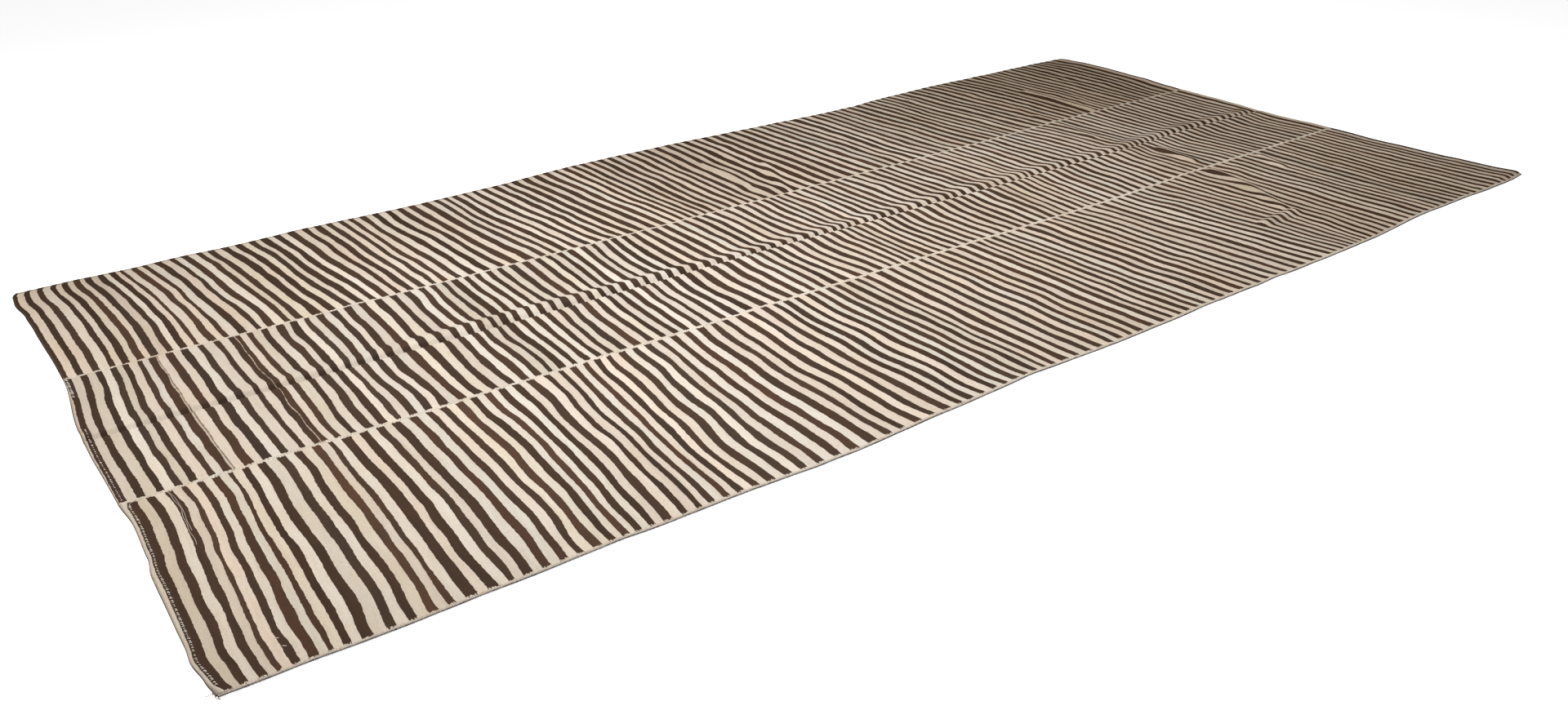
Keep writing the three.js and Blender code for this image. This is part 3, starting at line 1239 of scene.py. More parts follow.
@dataclass(frozen=True)
class Strip:
    """One hand-loomed strip of the rug.

    Attributes:
        name: The strip's name, as the solids have it.
        flat: Its width and length when it is laid flat, in metres. It is not used.
        near: The line that its near side follows.
        far: The line that its far side follows.
        insets: How far its cloth stops short of those lines.
        sewn: How far in from each side pale sewing yarn covers it.
        order: Its stripes.
        course: How they lean.
        hems: How wide the hem is at the left and right end.
        tone_along: How much lighter or darker, and how much warmer, its wool is made along the rug.
        bulges: Its stripes that swell where a fold lifts them.
        row_pitch: The distance between the rows of its net.
        crease_rows: The rows of its net beside the crease, measured from the valley.
        rim: The rows and columns along its rim, measured from its sides and ends.
        least_step: The least distance between two columns of its net.
        thickness: The cloth's thickness.
        rim_share: The share of it that is left at the very rim.
        hem_extra: How much thicker its hems are.
        hem_slope: How far that extra takes to fade.
        warming: How much the warmth of its wool takes from each colour.
    """

    name: str
    flat: tuple[float, float]
    near: Line
    far: Line
    insets: tuple[float, float]
    sewn: tuple[float, float]
    order: StripeOrder
    course: Course
    hems: tuple[float, float]
    tone_along: Table
    bulges: tuple[Bulge, ...]
    row_pitch: float = 9.0
    crease_rows: tuple[float, ...] = ()
    rim: tuple[float, ...] = (0.0, 0.35, 1.1, 2.2)
    least_step: float = 0.2
    thickness: float = 2.5
    rim_share: float = 0.3
    hem_extra: float = 1.6
    hem_slope: float = 8.0
    warming: Colour = (0.0, 0.45, 1.0)

    def sides(self, along: np.ndarray) -> tuple[np.ndarray, np.ndarray]:
        """Gives the places across the rug of the cloth's two long sides."""
        return LAY.line(self.near, along) + self.insets[0], LAY.line(self.far, along) - self.insets[1]

    def even_rows(self, start: np.ndarray, end: np.ndarray) -> np.ndarray:
        """Spaces rows evenly from one place across the rug to another, with a row at each."""
        count = round(float(np.mean(end - start)) / self.row_pitch) + 1
        return start + (end - start) * np.linspace(0, 1, count)

    def rows(self, along: np.ndarray) -> np.ndarray:
        """Places the net's rows across the strip.

        Args:
            along: Places along the rug.

        Returns:
            The rows' places, on a last axis of their own.
        """
        low, high = (side[..., None] for side in self.sides(along))
        inner_low, inner_high = low + self.row_pitch, high - self.row_pitch
        if self.crease_rows:
            crease = LAY.crease.valley(along)[..., None] + np.array(self.crease_rows)
            before = self.even_rows(inner_low, crease[..., :1])[..., :-1]
            inner = [before, crease, self.even_rows(crease[..., -1:], inner_high)[..., 1:]]
        else:
            inner = [self.even_rows(inner_low, inner_high)]
        rim = np.array(self.rim)
        return np.concatenate([low + rim, *inner, high - rim[::-1]], -1)

    def columns(self) -> np.ndarray:
        """Places the net's columns along the cloth: at the stripes' borders, their middles and the ends."""
        left, right = self.hems
        hems = [left, left + self.hem_slope, LAY.length - right - self.hem_slope, LAY.length - right]
        rim = np.array(self.rim)
        places = [self.order.borders(), self.order.middles(), hems, rim, LAY.length - rim]
        places = np.unique(np.round(np.concatenate(places), 3))
        return places[np.concatenate([[True], np.diff(places) > self.least_step])]

    def shift(self, cloth: np.ndarray, share: np.ndarray, across: np.ndarray) -> np.ndarray:
        """Gives how far the weave has moved along the rug, with the stripes that swell over folds.

        Args:
            cloth: Places along the woven strip.
            share: Places across it, from 0 at its near side to 1 at its far one.
            across: The same places in millimetres.

        Returns:
            The move at each place.
        """
        moved = self.course.shift(cloth, share, across, self.order.first[0])
        return moved + sum(bulge.push(self.order, cloth, across) for bulge in self.bulges)

    def cloth_thickness(self, cloth: np.ndarray, across: np.ndarray, low: np.ndarray,
                        high: np.ndarray) -> np.ndarray:
        """Gives the cloth's thickness, fuller over the hems and rounded off at its rim.

        Args:
            cloth: Places along the cloth.
            across: Places across the rug.
            low: The near side's place at each of them.
            high: The far side's place.

        Returns:
            The thickness at each place.
        """
        left, right = self.hems
        over_left = smooth(1 - (cloth - left) / self.hem_slope)
        over_right = smooth(1 - (LAY.length - right - cloth) / self.hem_slope)
        full = self.thickness + self.hem_extra * np.maximum(over_left, over_right)
        from_rim = np.minimum.reduce([across - low, high - across, cloth, LAY.length - cloth])
        rounding = np.sqrt(1 - (1 - np.clip(from_rim / self.rim[-1], 0, 1)) ** 2)
        return full * (self.rim_share + (1 - self.rim_share) * rounding)

    def net(self) -> Net:
        """Works out every point of the net."""
        cloth = self.columns()[:, None]
        start = self.rows(cloth[:, 0])
        low, high = self.sides(cloth)
        along = cloth + self.shift(cloth, (start - low) / (high - low), start)
        across = np.diagonal(self.rows(along), axis1=1, axis2=2)
        cloth = np.broadcast_to(cloth, along.shape)
        low, high = self.sides(along)
        thick = self.cloth_thickness(cloth, across, low, high)
        under = np.clip((self.thickness - thick) / 2, 0, None)
        upper, lower = LAY.point(along, across, thick), LAY.point(along, across, under)
        return Net(cloth, along, across, low, high, upper, lower)

    def follow(self, cloth: float, shares: np.ndarray) -> tuple[np.ndarray, np.ndarray]:
        """Follows one weft across the strip.

        Args:
            cloth: The weft's place along the cloth.
            shares: Shares of the way from the near side to the far one.

        Returns:
            Places along the rug and across it.
        """
        woven = np.full(shares.shape, float(cloth))
        low, high = self.sides(woven)
        along = woven + self.shift(woven, shares, low + (high - low) * shares)
        low, high = self.sides(along)
        return along, low + (high - low) * shares

    def brown_beside(self, along: np.ndarray, share: float) -> np.ndarray:
        """Tells where the strip's own stripe is brown.

        Args:
            along: Places along the rug.
            share: The place across the strip, from 0 at its near side to 1 at its far one.

        Returns:
            1 for each place beside a brown stripe and 0 for the others.
        """
        low, high = self.sides(along)
        cloth = along.copy()
        for _ in range(8):
            cloth = along - self.shift(cloth, np.full(along.shape, share), low + (high - low) * share)
        stripe = np.clip(np.searchsorted(self.order.borders(), cloth) - 1, 0, self.order.count - 1)
        wools = self.order.wools()
        return np.array([float(wools[k] is Wool.BROWN) for k in stripe])

    def make(self, finish: bpy.types.Material) -> bpy.types.Object:
        """Weaves the strip.

        Args:
            finish: The striped wool.

        Returns:
            The strip's cloth.
        """
        net = self.net()
        columns, rows = net.cloth.shape
        index = np.arange(columns * rows).reshape(columns, rows)
        upper = np.stack([index[:-1, :-1], index[1:, :-1], index[1:, 1:], index[:-1, 1:]], -1)
        lower = upper[..., ::-1] + columns * rows
        edge = np.concatenate([index[:-1, 0], index[-1, :-1], index[:0:-1, -1], index[0, :0:-1]])
        following = np.roll(edge, -1)
        rim = np.stack([edge + columns * rows, following + columns * rows, following, edge], -1)
        faces = np.concatenate([upper.reshape(-1, 4), lower.reshape(-1, 4), rim])
        points = np.concatenate([net.upper.reshape(-1, 3), net.lower.reshape(-1, 3)])
        mesh = new_mesh(f"{self.name}_cloth", points, faces)
        self.mark(mesh, net, np.tile(np.arange(columns).repeat(rows), 2)[faces].min(1))
        return show(mesh.name, mesh, finish)

    def mark(self, mesh: bpy.types.Mesh, net: Net, face_column: np.ndarray) -> None:
        """Stores on the cloth what its finish reads.

        Args:
            mesh: The cloth's mesh.
            net: The net that it was made from.
            face_column: The column that each face starts at.
        """
        corners = np.empty(len(mesh.loops), dtype=np.int32)
        mesh.loops.foreach_get("vertex_index", corners)
        woven = np.stack([on_both_faces(net.cloth), on_both_faces(net.across)], -1)[corners] * MM
        mesh.uv_layers.new(name="cloth").uv.foreach_set("vector", woven.astype(np.float32).ravel())
        borders, shades = self.order.borders()[1:-1], self.order.shades()
        is_ivory = np.array([wool is Wool.IVORY for wool in self.order.wools()])
        places = net.cloth[:, 0]
        nearest = np.abs(places[:, None] - borders).argmin(1)
        past = places - borders[nearest]
        toward_ivory = np.where(is_ivory[nearest + 1], past, -past)
        near_edge, far_edge = net.across - net.low - self.sewn[0], net.high - net.across - self.sewn[1]
        # The painted shade on the left end's rim widens towards the near corner.
        turned = LAY.painted_rim_width + LAY.corner_extra * smooth(1 - net.across / LAY.corner_reach)
        for name, values in (
            ("border", np.broadcast_to(toward_ivory[:, None], net.cloth.shape)),
            ("side", np.minimum(near_edge, far_edge)),
            # Painted shade beside the crease's valley.
            ("painted_crease_shade", LAY.crease.shade(net.along, net.across)),
            # Painted shade on the rounded rim of the left end.
            ("rim", LAY.rim_painted_shade * smooth(1 - net.cloth / turned)),
            ("olive", STAINS.at(net.along, net.across)),
        ):
            set_values(mesh, name, "POINT", on_both_faces(values))
        light, warmth = (self.tone_along.flow(net.along, name).reshape(-1, 1) for name in ("light", "warmth"))
        cast = light * (1 - warmth * np.array(self.warming))
        set_values(mesh, "cast", "POINT", np.tile(cast, (2, 1)))
        centres = (places[:-1] + places[1:]) / 2
        centres = centres[np.clip(face_column, 0, len(centres) - 1)]
        nearest = np.abs(centres[:, None] - borders).argmin(1)
        from_ivory = is_ivory[nearest][:, None]
        before, after = shades[nearest], shades[nearest + 1]
        set_values(mesh, "ivory", "FACE", np.where(from_ivory, before, after))
        set_values(mesh, "brown", "FACE", np.where(from_ivory, after, before))


STRIPS = (
    Strip(
        name="panel_near",
        flat=(0.69, 4.09),
        near=Line.NEAR_EDGE,
        far=Line.NEAR_SEAM,
        insets=(BOUND_INSET, SEWN_GAP / 2),
        sewn=(3.4, 4.6),
        tone_along=Table(
            ("along", "light", "warmth"),
            (
                (0, 0.93, 0.03), (600, 1.0, -0.04), (1500, 0.98, -0.06), (2300, 0.93, 0.0),
                (3000, 0.95, 0.01), (3600, 1.0, 0.08), (4090, 1.04, 0.08),
            ),
        ),
        bulges=(
            Bulge(3336, 593, Wool.BROWN, 18, 50), Bulge(3285, 452, Wool.IVORY, 15, 55),
            Bulge(3035, 560, Wool.BROWN, 9, 45), Bulge(3130, 560, Wool.BROWN, 8, 50),
            Bulge(4037, 192, Wool.IVORY, 9, 35),
        ),
        order=StripeOrder(
            count=232, opening=Wool.IVORY, last=15.0, brown=17.0, ivory=18.0, spread=2.2, seed=21,
            first=(
                11, 20, 18, 17, 18, 16, 16, 10, 17, 13, 15, 17, 14, 10, 15, 14, 18, 18, 22, 17, 18, 16,
                20, 17, 16, 12,
            ),
        ),
        course=Course(
            lean=lean_table(
                (-7, -4, 1, -20, -42, -15, 2, -5, 9, 12, 25, 37, 8, -4, -16, 0),
                (-20, -18, -15, -51, -58, -4, 24, 7, 22, 30, 49, 70, -11, 1, -10, 3),
            ),
            seed=30,
            hem=Table(
                ("share", "width"),
                (
                    (0, 17), (0.04, 10), (0.11, 8), (0.18, 8), (0.3, 9.5), (0.5, 11), (0.58, 10),
                    (0.65, 7.5), (0.88, 7.5), (0.95, 9.5), (1, 16),
                ),
            ),
        ),
        hems=(14.0, 9.0),
    ),
    Strip(
        name="panel_middle",
        flat=(0.68, 4.07),
        near=Line.NEAR_SEAM,
        far=Line.FAR_SEAM,
        insets=(SEWN_GAP / 2, SEWN_GAP / 2),
        sewn=(4.6, 2.9),
        tone_along=Table(
            ("along", "light", "warmth"),
            (
                (0, 0.94, -0.02), (600, 0.955, -0.07), (1400, 0.965, -0.085), (2100, 0.94, -0.03),
                (3100, 0.955, -0.01), (3600, 0.97, 0.05), (4090, 1.05, 0.065),
            ),
        ),
        bulges=(Bulge(3361, 872, Wool.BROWN, 19, 48), Bulge(3346, 780, Wool.IVORY, 11, 45)),
        order=StripeOrder(
            count=237, opening=Wool.IVORY, last=25.0, brown=17.2, ivory=17.8, spread=2.0, seed=22,
            first=(
                5, 14, 17, 15, 20.5, 14.5, 18.5, 14, 14.5, 14, 20, 13, 14, 18, 3.4, 2.4, 18.4, 19, 17,
                19, 19, 16, 23, 14, 19, 16, 2, 12,
            ),
        ),
        course=Course(
            lean=lean_table(
                (-1, -3, -9, -6, -6, -16, 7, 8, 3, 14, 17, 9, 26, -2, -13, 0),
                (1, 4, -15, -9, -16, -18, 24, 34, 18, 21, 12, -5, 28, 19, -5, -4),
            ),
            part_way=0.36,
            seed=40,
            hem=Table(
                ("share", "width"),
                ((0, 3), (0.1, 3), (0.24, 4.5), (0.54, 7), (0.77, 8.5), (0.85, 5), (0.93, 3), (1, 1.5)),
            ),
        ),
        hems=(10.0, 25.0),
        crease_rows=(
            -100, -88, -76, -64, -53, -43, -34, -26, -19, -13, -9, -7, -6, -4.5, -3, -1.5, 0, 2, 4, 7,
            10, 13.5, 17, 21, 25, 30, 36, 43, 51, 60, 70, 81, 93, 106, 120, 135,
        ),
    ),
    Strip(
        name="panel_far",
        flat=(0.65, 4.10),
        near=Line.FAR_SEAM,
        far=Line.FAR_EDGE,
        insets=(SEWN_GAP / 2, BOUND_INSET),
        sewn=(2.9, -9.0),
        tone_along=Table(
            ("along", "light", "warmth"),
            (
                (0, 0.975, 0.02), (1000, 1.05, -0.03), (1600, 1.02, -0.01), (2000, 0.87, 0.035),
                (2700, 0.94, -0.01), (3300, 0.87, 0.1), (4090, 0.87, 0.15),
            ),
        ),
        bulges=(
            Bulge(2048, 1608, Wool.IVORY, 11, 60), Bulge(2048, 1411, Wool.IVORY, 13, 45),
            Bulge(2087, 1420, Wool.BROWN, 13, 40), Bulge(3545, 1380, Wool.IVORY, 18, 70),
        ),
        order=StripeOrder(
            count=223, opening=Wool.BROWN, last=14.0, brown=19.0, ivory=17.8, spread=2.2, seed=23,
            first=(
                11, 16, 13.5, 16.5, 14.5, 19.5, 12.5, 13, 15, 14, 16, 13, 17, 17, 14, 14, 16, 13, 10, 18,
                16, 15, 12, 20, 18, 21, 14,
            ),
        ),
        course=Course(
            lean=lean_table(
                (20, 36, 29, 21, 24, 28, 23, 1, 3, 23, 20, 21, 24, 28, 7, 2),
                (18, 56, 59, 39, 58, 67, 51, 9, 9, 44, 39, 47, 53, 28, 11, -13),
            ),
            seed=50,
        ),
        hems=(8.0, 12.0),
    ),
)


@dataclass(frozen=True)
class Row:
    """One row of stitches or wraps, or one loose yarn.

    Attributes:
        name: The piece's name.
        yarn: The yarn's radius.
        pitch: The distance between stitches.
        reach: How far a stitch reaches from side to side.
        arch: How high it arches.
        splay: How far neighbouring stitches lean apart, in radians.
        slant: How far all of them lean the same way, in radians.
        unevenness: How uneven the stitches are, from 0.
        seed: The seed of their unevenness.
    """

    name: str
    yarn: float
    pitch: float = 1.0
    reach: float = 1.0
    arch: float = 1.0
    splay: float = 0.35
    slant: float = 0.0
    unevenness: float = 0.15
    seed: int = 1

    def inputs(self) -> dict[str, float]:
        """Gives what the node trees take, by name, in metres and radians."""
        lengths = {"Pitch": self.pitch, "Reach": self.reach, "Arch": self.arch, "Yarn": self.yarn}
        rest = {"Splay": self.splay, "Slant": self.slant, "Unevenness": self.unevenness, "Seed": self.seed}
        return {name: length * MM for name, length in lengths.items()} | rest


@dataclass(frozen=True)
class Guide:
    """A line on the rug that stitches are sewn along.

    Attributes:
        along: Places along the rug.
        across: Places across it.
        lift: The height of the line over the cloth's underside.
        size: How full the stitches are at each place, from 0 for none.
        by_brown: 1 at the places beside a brown stripe, for yarn that changes there.
    """

    along: np.ndarray
    across: np.ndarray
    lift: float
    size: np.ndarray | float = 1.0
    by_brown: np.ndarray | None = None

    def make(self, name: str) -> bpy.types.Object:
        """Lays the line down as an object of points joined by edges."""
        points = LAY.point(self.along, self.across, self.lift)
        mesh = bpy.data.meshes.new(name)
        mesh.from_pydata(points.tolist(), [(k, k + 1) for k in range(len(points) - 1)], [])
        set_values(mesh, "up", "POINT", LAY.up(self.along, self.across))
        set_values(mesh, "size", "POINT", np.broadcast_to(self.size, self.along.shape))
        if self.by_brown is not None:
            set_values(mesh, "by_brown", "POINT", self.by_brown)
        return show(name, mesh)


class YarnWork(Group):
    """A node tree that turns a guide into yarn work."""

    def __init__(self, name: str) -> None:
        """Starts the tree with the sizes that all kinds of work take."""
        lengths = dict.fromkeys(("Pitch", "Reach", "Arch", "Yarn", "Splay", "Slant", "Unevenness"), "Float")
        inputs = {"Guide": "Geometry", **lengths, "Seed": "Int", "Finish": "Material"}
        super().__init__(name, inputs, {"Work": "Geometry"}, "GeometryNodeTree")

    def kept(self, geometry: Socket, name: str, value: Socket) -> Socket:
        """Stores a number at each point of a geometry."""
        store = self.add("GeometryNodeStoreNamedAttribute", {"data_type": "FLOAT", "domain": "POINT"},
                         Name=name, Value=value)
        return self.feed(store, geometry)

    def marked(self, curve: Socket, name: str, part: str) -> Socket:
        """Stores where each point of a curve stands along it, as its Length or its Factor."""
        return self.kept(curve, name, self.add("GeometryNodeSplineParameter").outputs[part])

    def stored(self, name: str, kind: str = "FLOAT") -> Socket:
        """Gives what each point of the geometry stores under a name."""
        return self.made("GeometryNodeInputNamedAttribute", {"data_type": kind}, Name=name)

    def coordinate(self, axis: str) -> Socket:
        """Gives each point's place along one axis."""
        return self.part(self.made("GeometryNodeInputPosition"), axis)

    def guide_curve(self) -> Socket:
        """Gives the guide as a curve."""
        return self.made("GeometryNodeMeshToCurve", Mesh=self.given["Guide"])

    def section(self, sides: int) -> Socket:
        """Makes the yarn's round section."""
        circle = self.made("GeometryNodeCurvePrimitiveCircle", Resolution=sides, Radius=self.given["Yarn"])
        return self.marked(circle, "yarn_turn", "Factor")

    def swept(self, path: Socket, section: Socket, caps: bool = True) -> Socket:
        """Sweeps a section along a path."""
        return self.made("GeometryNodeCurveToMesh", Curve=path, Profile_Curve=section, Fill_Caps=caps)

    def chance(self, salt: int) -> Socket:
        """Gives each stitch a random number from -1 to 1, scaled by the unevenness."""
        seed = self.math("ADD", self.given["Seed"], float(salt))
        random = self.made("FunctionNodeRandomValue", {"data_type": "FLOAT"}, Min=-1.0, Max=1.0, Seed=seed)
        return self.math("MULTIPLY", random, self.given["Unevenness"])

    def placed(self, stitch: Socket, upright: bool) -> Socket:
        """Sets one stitch at every pitch along the guide.

        Args:
            stitch: The stitch's mesh.
            upright: Whether the stitch's X axis follows the guide, and not its Z axis.

        Returns:
            All stitches, as real geometry.
        """
        given = self.given
        tangent, size = self.made("GeometryNodeInputTangent"), self.stored("size")
        even = self.made("GeometryNodeResampleCurve", {"mode": "LENGTH"}, Curve=self.guide_curve(),
                         Length=given["Pitch"])
        slid = self.scaled(tangent, self.math("MULTIPLY", self.chance(1), given["Pitch"]))
        strayed = self.made("GeometryNodeSetPosition", Geometry=even, Offset=slid)
        axes = ("Z", "X") if upright else ("Y", "Z")
        turn = self.add("FunctionNodeAxesToRotation", dict(zip(("primary_axis", "secondary_axis"), axes)))
        turn = self.feed(turn, self.stored("up", "FLOAT_VECTOR"), tangent)
        parity = self.math("FLOORED_MODULO", self.made("GeometryNodeInputIndex"), 2.0)
        splay = self.math("MULTIPLY", self.math("MULTIPLY_ADD", parity, -2.0, 1.0), given["Splay"])
        swing = self.math("ADD", self.math("ADD", splay, given["Slant"]), self.chance(2))
        lean = self.combined(z=swing) if upright else self.combined(y=swing)
        turn = self.feed(self.add("FunctionNodeRotateRotation", {"rotation_space": "LOCAL"}), turn, lean)
        full = self.math("MULTIPLY", size, self.math("ADD", self.chance(3), 1.0))
        worked = self.add("FunctionNodeCompare", {"data_type": "FLOAT", "operation": "GREATER_THAN"})
        spread = self.made("GeometryNodeInstanceOnPoints", Points=strayed, Instance=stitch, Rotation=turn,
                           Selection=self.feed(worked, size, 0.1), Scale=self.combined(full, full, full))
        return self.made("GeometryNodeRealizeInstances", Geometry=spread)

    def finish(self, work: Socket) -> None:
        """Smooths the work, gives it its finish and puts it out."""
        soft = self.made("GeometryNodeSetShadeSmooth", Geometry=work)
        dressed = self.made("GeometryNodeSetMaterial", Geometry=soft, Material=self.given["Finish"])
        self.fill(self.result, Work=dressed)

    def work(self, row: Row, guide: Guide, finish: bpy.types.Material) -> bpy.types.Object:
        """Runs the tree along a guide and keeps the result as a plain mesh.

        Args:
            row: The sizes and the name of the work.
            guide: The guide that it follows.
            finish: The yarn's finish.

        Returns:
            The piece that was made.
        """
        line = guide.make(row.name)
        modifier = line.modifiers.new("work", "NODES")
        modifier.node_group = self.tree
        values = row.inputs() | {"Finish": finish}
        for item in self.tree.interface.items_tree:
            if item.in_out == "INPUT" and item.name in values:
                modifier[item.identifier] = values[item.name]
        bpy.context.view_layer.update()
        evaluated = line.evaluated_get(bpy.context.evaluated_depsgraph_get())
        mesh = bpy.data.meshes.new_from_object(evaluated)
        bpy.data.meshes.remove(line.data)
        mesh.name = row.name
        for spare in ("up", "size", "guide_height"):
            if spare in mesh.attributes:
                mesh.attributes.remove(mesh.attributes[spare])
        return show(row.name, mesh)


class Stitches(YarnWork):
    """Stitches that arch over the guide from side to side."""

    def __init__(self) -> None:
        """Builds the tree."""
        super().__init__("stitches")
        half = self.math("MULTIPLY", self.given["Reach"], 0.5)
        sunk = self.math("MULTIPLY", self.given["Yarn"], -0.7)
        start = self.combined(y=self.math("MULTIPLY", half, -1.0), z=sunk)
        top = self.combined(z=self.math("MULTIPLY", self.given["Arch"], 2.0))
        end = self.combined(y=half, z=sunk)
        arch = self.made("GeometryNodeCurveQuadraticBezier", Resolution=5, Start=start, Middle=top, End=end)
        stitch = self.swept(self.marked(arch, "yarn_length", "Length"), self.section(5))
        self.finish(self.placed(stitch, upright=True))


class Wraps(YarnWork):
    """An overcast edge: a flattened core with yarn wound closely round it."""

    def __init__(self) -> None:
        """Builds the tree."""
        super().__init__("wraps")
        flatness = self.math("DIVIDE", self.given["Arch"], self.given["Reach"])
        outer = self.math("SUBTRACT", self.math("MULTIPLY", self.given["Reach"], 0.5), self.given["Yarn"])
        circle = self.made("GeometryNodeCurvePrimitiveCircle", Resolution=10, Radius=outer)
        oval = self.made("GeometryNodeTransform", Geometry=circle, Scale=self.combined(1.0, flatness, 1.0))
        wrap = self.swept(self.marked(oval, "yarn_length", "Length"), self.section(4), caps=False)
        wrap = self.kept(wrap, "yarn_rise", self.coordinate("Y"))
        wrap = self.kept(wrap, "yarn_side", self.coordinate("X"))
        path = self.made("GeometryNodeSetCurveNormal", {"mode": "Z_UP"}, Curve=self.guide_curve())
        path = self.marked(path, "yarn_length", "Length")
        path = self.kept(path, "guide_height", self.coordinate("Z"))
        section = self.marked(oval, "yarn_turn", "Factor")
        core = self.swept(path, self.kept(section, "yarn_side", self.coordinate("X")))
        rise = self.math("SUBTRACT", self.coordinate("Z"), self.stored("guide_height"))
        joined_work = self.add("GeometryNodeJoinGeometry")
        for part in (self.placed(wrap, upright=False), self.kept(core, "yarn_rise", rise)):
            self.feed(joined_work, part)
        self.finish(joined_work.outputs[0])


class Threads(YarnWork):
    """A single yarn that lies along the guide."""

    def __init__(self) -> None:
        """Builds the tree."""
        super().__init__("threads")
        path = self.marked(self.guide_curve(), "yarn_length", "Length")
        self.finish(self.swept(path, self.section(6)))


def joined(name: str, pieces: list[bpy.types.Object]) -> bpy.types.Object:
    """Joins several pieces of one finish into one.

    Args:
        name: The joined piece's name.
        pieces: The pieces.

    Returns:
        The joined piece.
    """
    with bpy.context.temp_override(active_object=pieces[0], selected_editable_objects=pieces):
        bpy.ops.object.join()
    pieces[0].name = pieces[0].data.name = name
    return pieces[0]


@dataclass
class Sewing:
    """Everything that is sewn or overcast on the rug.

    Attributes:
        ivory_yarn: The finish of the sewing yarn.
        cloth_yarn: The finish of yarn that matches the ivory cloth.
        frayed_yarn: The finish of the soiled ends at the worn corner.
        edge_yarns: The finish of the yarn wound round each long edge.
        stitches: The tree that makes stitches.
        wraps: The tree that makes the overcast edges.
        threads: The tree that makes loose yarns.
        cloth_face: The height of the cloth's face over its underside.
        hem_face: The same over a hem.
        binding_middle: The height of a binding's middle over the floor.
        guide_step: The distance between a guide's points.
        fine_step: The same for a binding, which follows each stripe.
    """

    ivory_yarn: bpy.types.Material
    cloth_yarn: bpy.types.Material
    frayed_yarn: bpy.types.Material
    edge_yarns: dict[Line, bpy.types.Material]
    stitches: YarnWork = field(default_factory=Stitches)
    wraps: YarnWork = field(default_factory=Wraps)
    threads: YarnWork = field(default_factory=Threads)
    cloth_face: float = 2.5
    hem_face: float = 4.1
    binding_middle: float = 2.2
    guide_step: float = 9.0
    fine_step: float = 4.5

    def run(self, line: Line, aside: float, start: float, step: float) -> tuple[np.ndarray, np.ndarray]:
        """Follows an edge or a seam from end to end.

        Args:
            line: The edge or seam.
            aside: How far beside it, towards the far side.
            start: How far from the ends it starts and stops.
            step: The distance between its points.

        Returns:
            Places along the rug and across it.
        """
        along = np.linspace(start, LAY.length - start, round(LAY.length / step))
        return along, LAY.line(line, along) + aside

    def bindings(self) -> list[bpy.types.Object]:
        """Overcasts the two long outer edges, with the outer side on each guide's right."""
        near, _, far = STRIPS
        plan = (
            ("binding_near", Line.NEAR_EDGE, BINDING_WIDTH / 2, near, 0.0, -1),
            ("binding_far", Line.FAR_EDGE, -BINDING_WIDTH / 2, far, 1.0, 1),
        )
        made = []
        for name, line, aside, strip, share, way in plan:
            row = Row(f"{name}_yarn", yarn=0.85, pitch=2.2, reach=BINDING_WIDTH, arch=3.6, splay=0.0,
                      unevenness=0.08, seed=4)
            along, across = self.run(line, aside, start=4.0, step=self.fine_step)
            brown = strip.brown_beside(along, share)
            guide = Guide(along[::way], across[::way], self.binding_middle, by_brown=brown[::way])
            made.append(self.wraps.work(row, guide, self.edge_yarns[line]))
            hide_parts(name)
        return made

    def seams(self) -> list[bpy.types.Object]:
        """Sews the strips together with slanting stitches over both seams."""
        made = []
        for name, line, seed, full in (("near", Line.NEAR_SEAM, 5, 0.92), ("far", Line.FAR_SEAM, 6, 0.72)):
            row = Row(f"seam_{name}_stitches", yarn=0.85, pitch=5.8, reach=10.0, arch=0.9, splay=0.12,
                      slant=-0.35, unevenness=0.34, seed=seed)
            along, across = self.run(line, 0.0, start=1.5, step=self.guide_step)
            size = full + Sway(seed, along=70, across=500, size=0.16).at(along, across)
            guide = Guide(along, across, self.cloth_face, size)
            made.append(self.stitches.work(row, guide, self.ivory_yarn))
        return made

    def hems(self) -> list[bpy.types.Object]:
        """Sews down the turned ends of the strips."""
        near, middle, _ = STRIPS
        dots = Row("hem_left_near_stitches", pitch=6.6, reach=2.7, arch=0.9, yarn=1.0, splay=0.2,
                   slant=-0.3, unevenness=0.3, seed=7)
        ladder = Row("hem_left_ladder_stitches", pitch=7.4, reach=5.6, arch=0.9, yarn=0.9, splay=0.1,
                     slant=-0.6, unevenness=0.25, seed=8)
        faint = Row("hem_left_middle_stitches", pitch=8.0, reach=2.4, arch=0.7, yarn=0.8, splay=0.3,
                    slant=-0.3, unevenness=0.3, seed=9)
        corner = Row("hem_right_near_stitches", pitch=7.0, reach=2.4, arch=0.6, yarn=0.8, splay=0.2,
                     unevenness=0.3, seed=10)
        made = []
        for row, strip, cloth, start, end in (
            (dots, near, 15.0, 0.04, 0.985),
            (ladder, middle, 8.5, 0.83, 0.99),
            (faint, middle, 11.0, 0.02, 0.55),
            (corner, near, 4079.0, 0.06, 0.2),
        ):
            guide = Guide(*strip.follow(cloth, np.linspace(start, end, 80)), self.hem_face)
            made.append(self.stitches.work(row, guide, self.ivory_yarn))
        return made

    def teeth(self) -> bpy.types.Object:
        """Sews the pale teeth that tie the near binding to the ends of the stripes."""
        row = Row("edge_near_teeth", pitch=4.8, reach=8.0, arch=0.4, yarn=0.9, splay=0.15, unevenness=0.35,
                  seed=13)
        along, across = self.run(Line.NEAR_EDGE, BINDING_WIDTH + 3.0, start=30.0, step=self.guide_step)
        size = 0.85 + Sway(71, along=40, across=500, size=0.2).at(along, across)
        return self.stitches.work(row, Guide(along, across, self.cloth_face, size), self.cloth_yarn)

    def loose(self, row: Row, guides: list[Guide], finish: bpy.types.Material) -> bpy.types.Object:
        """Lays loose yarns along several guides, as one piece.

        Args:
            row: The piece's name and the yarn's size.
            guides: One guide for each yarn.
            finish: The yarn's finish.

        Returns:
            The piece.
        """
        return joined(row.name, [self.threads.work(row, guide, finish) for guide in guides])

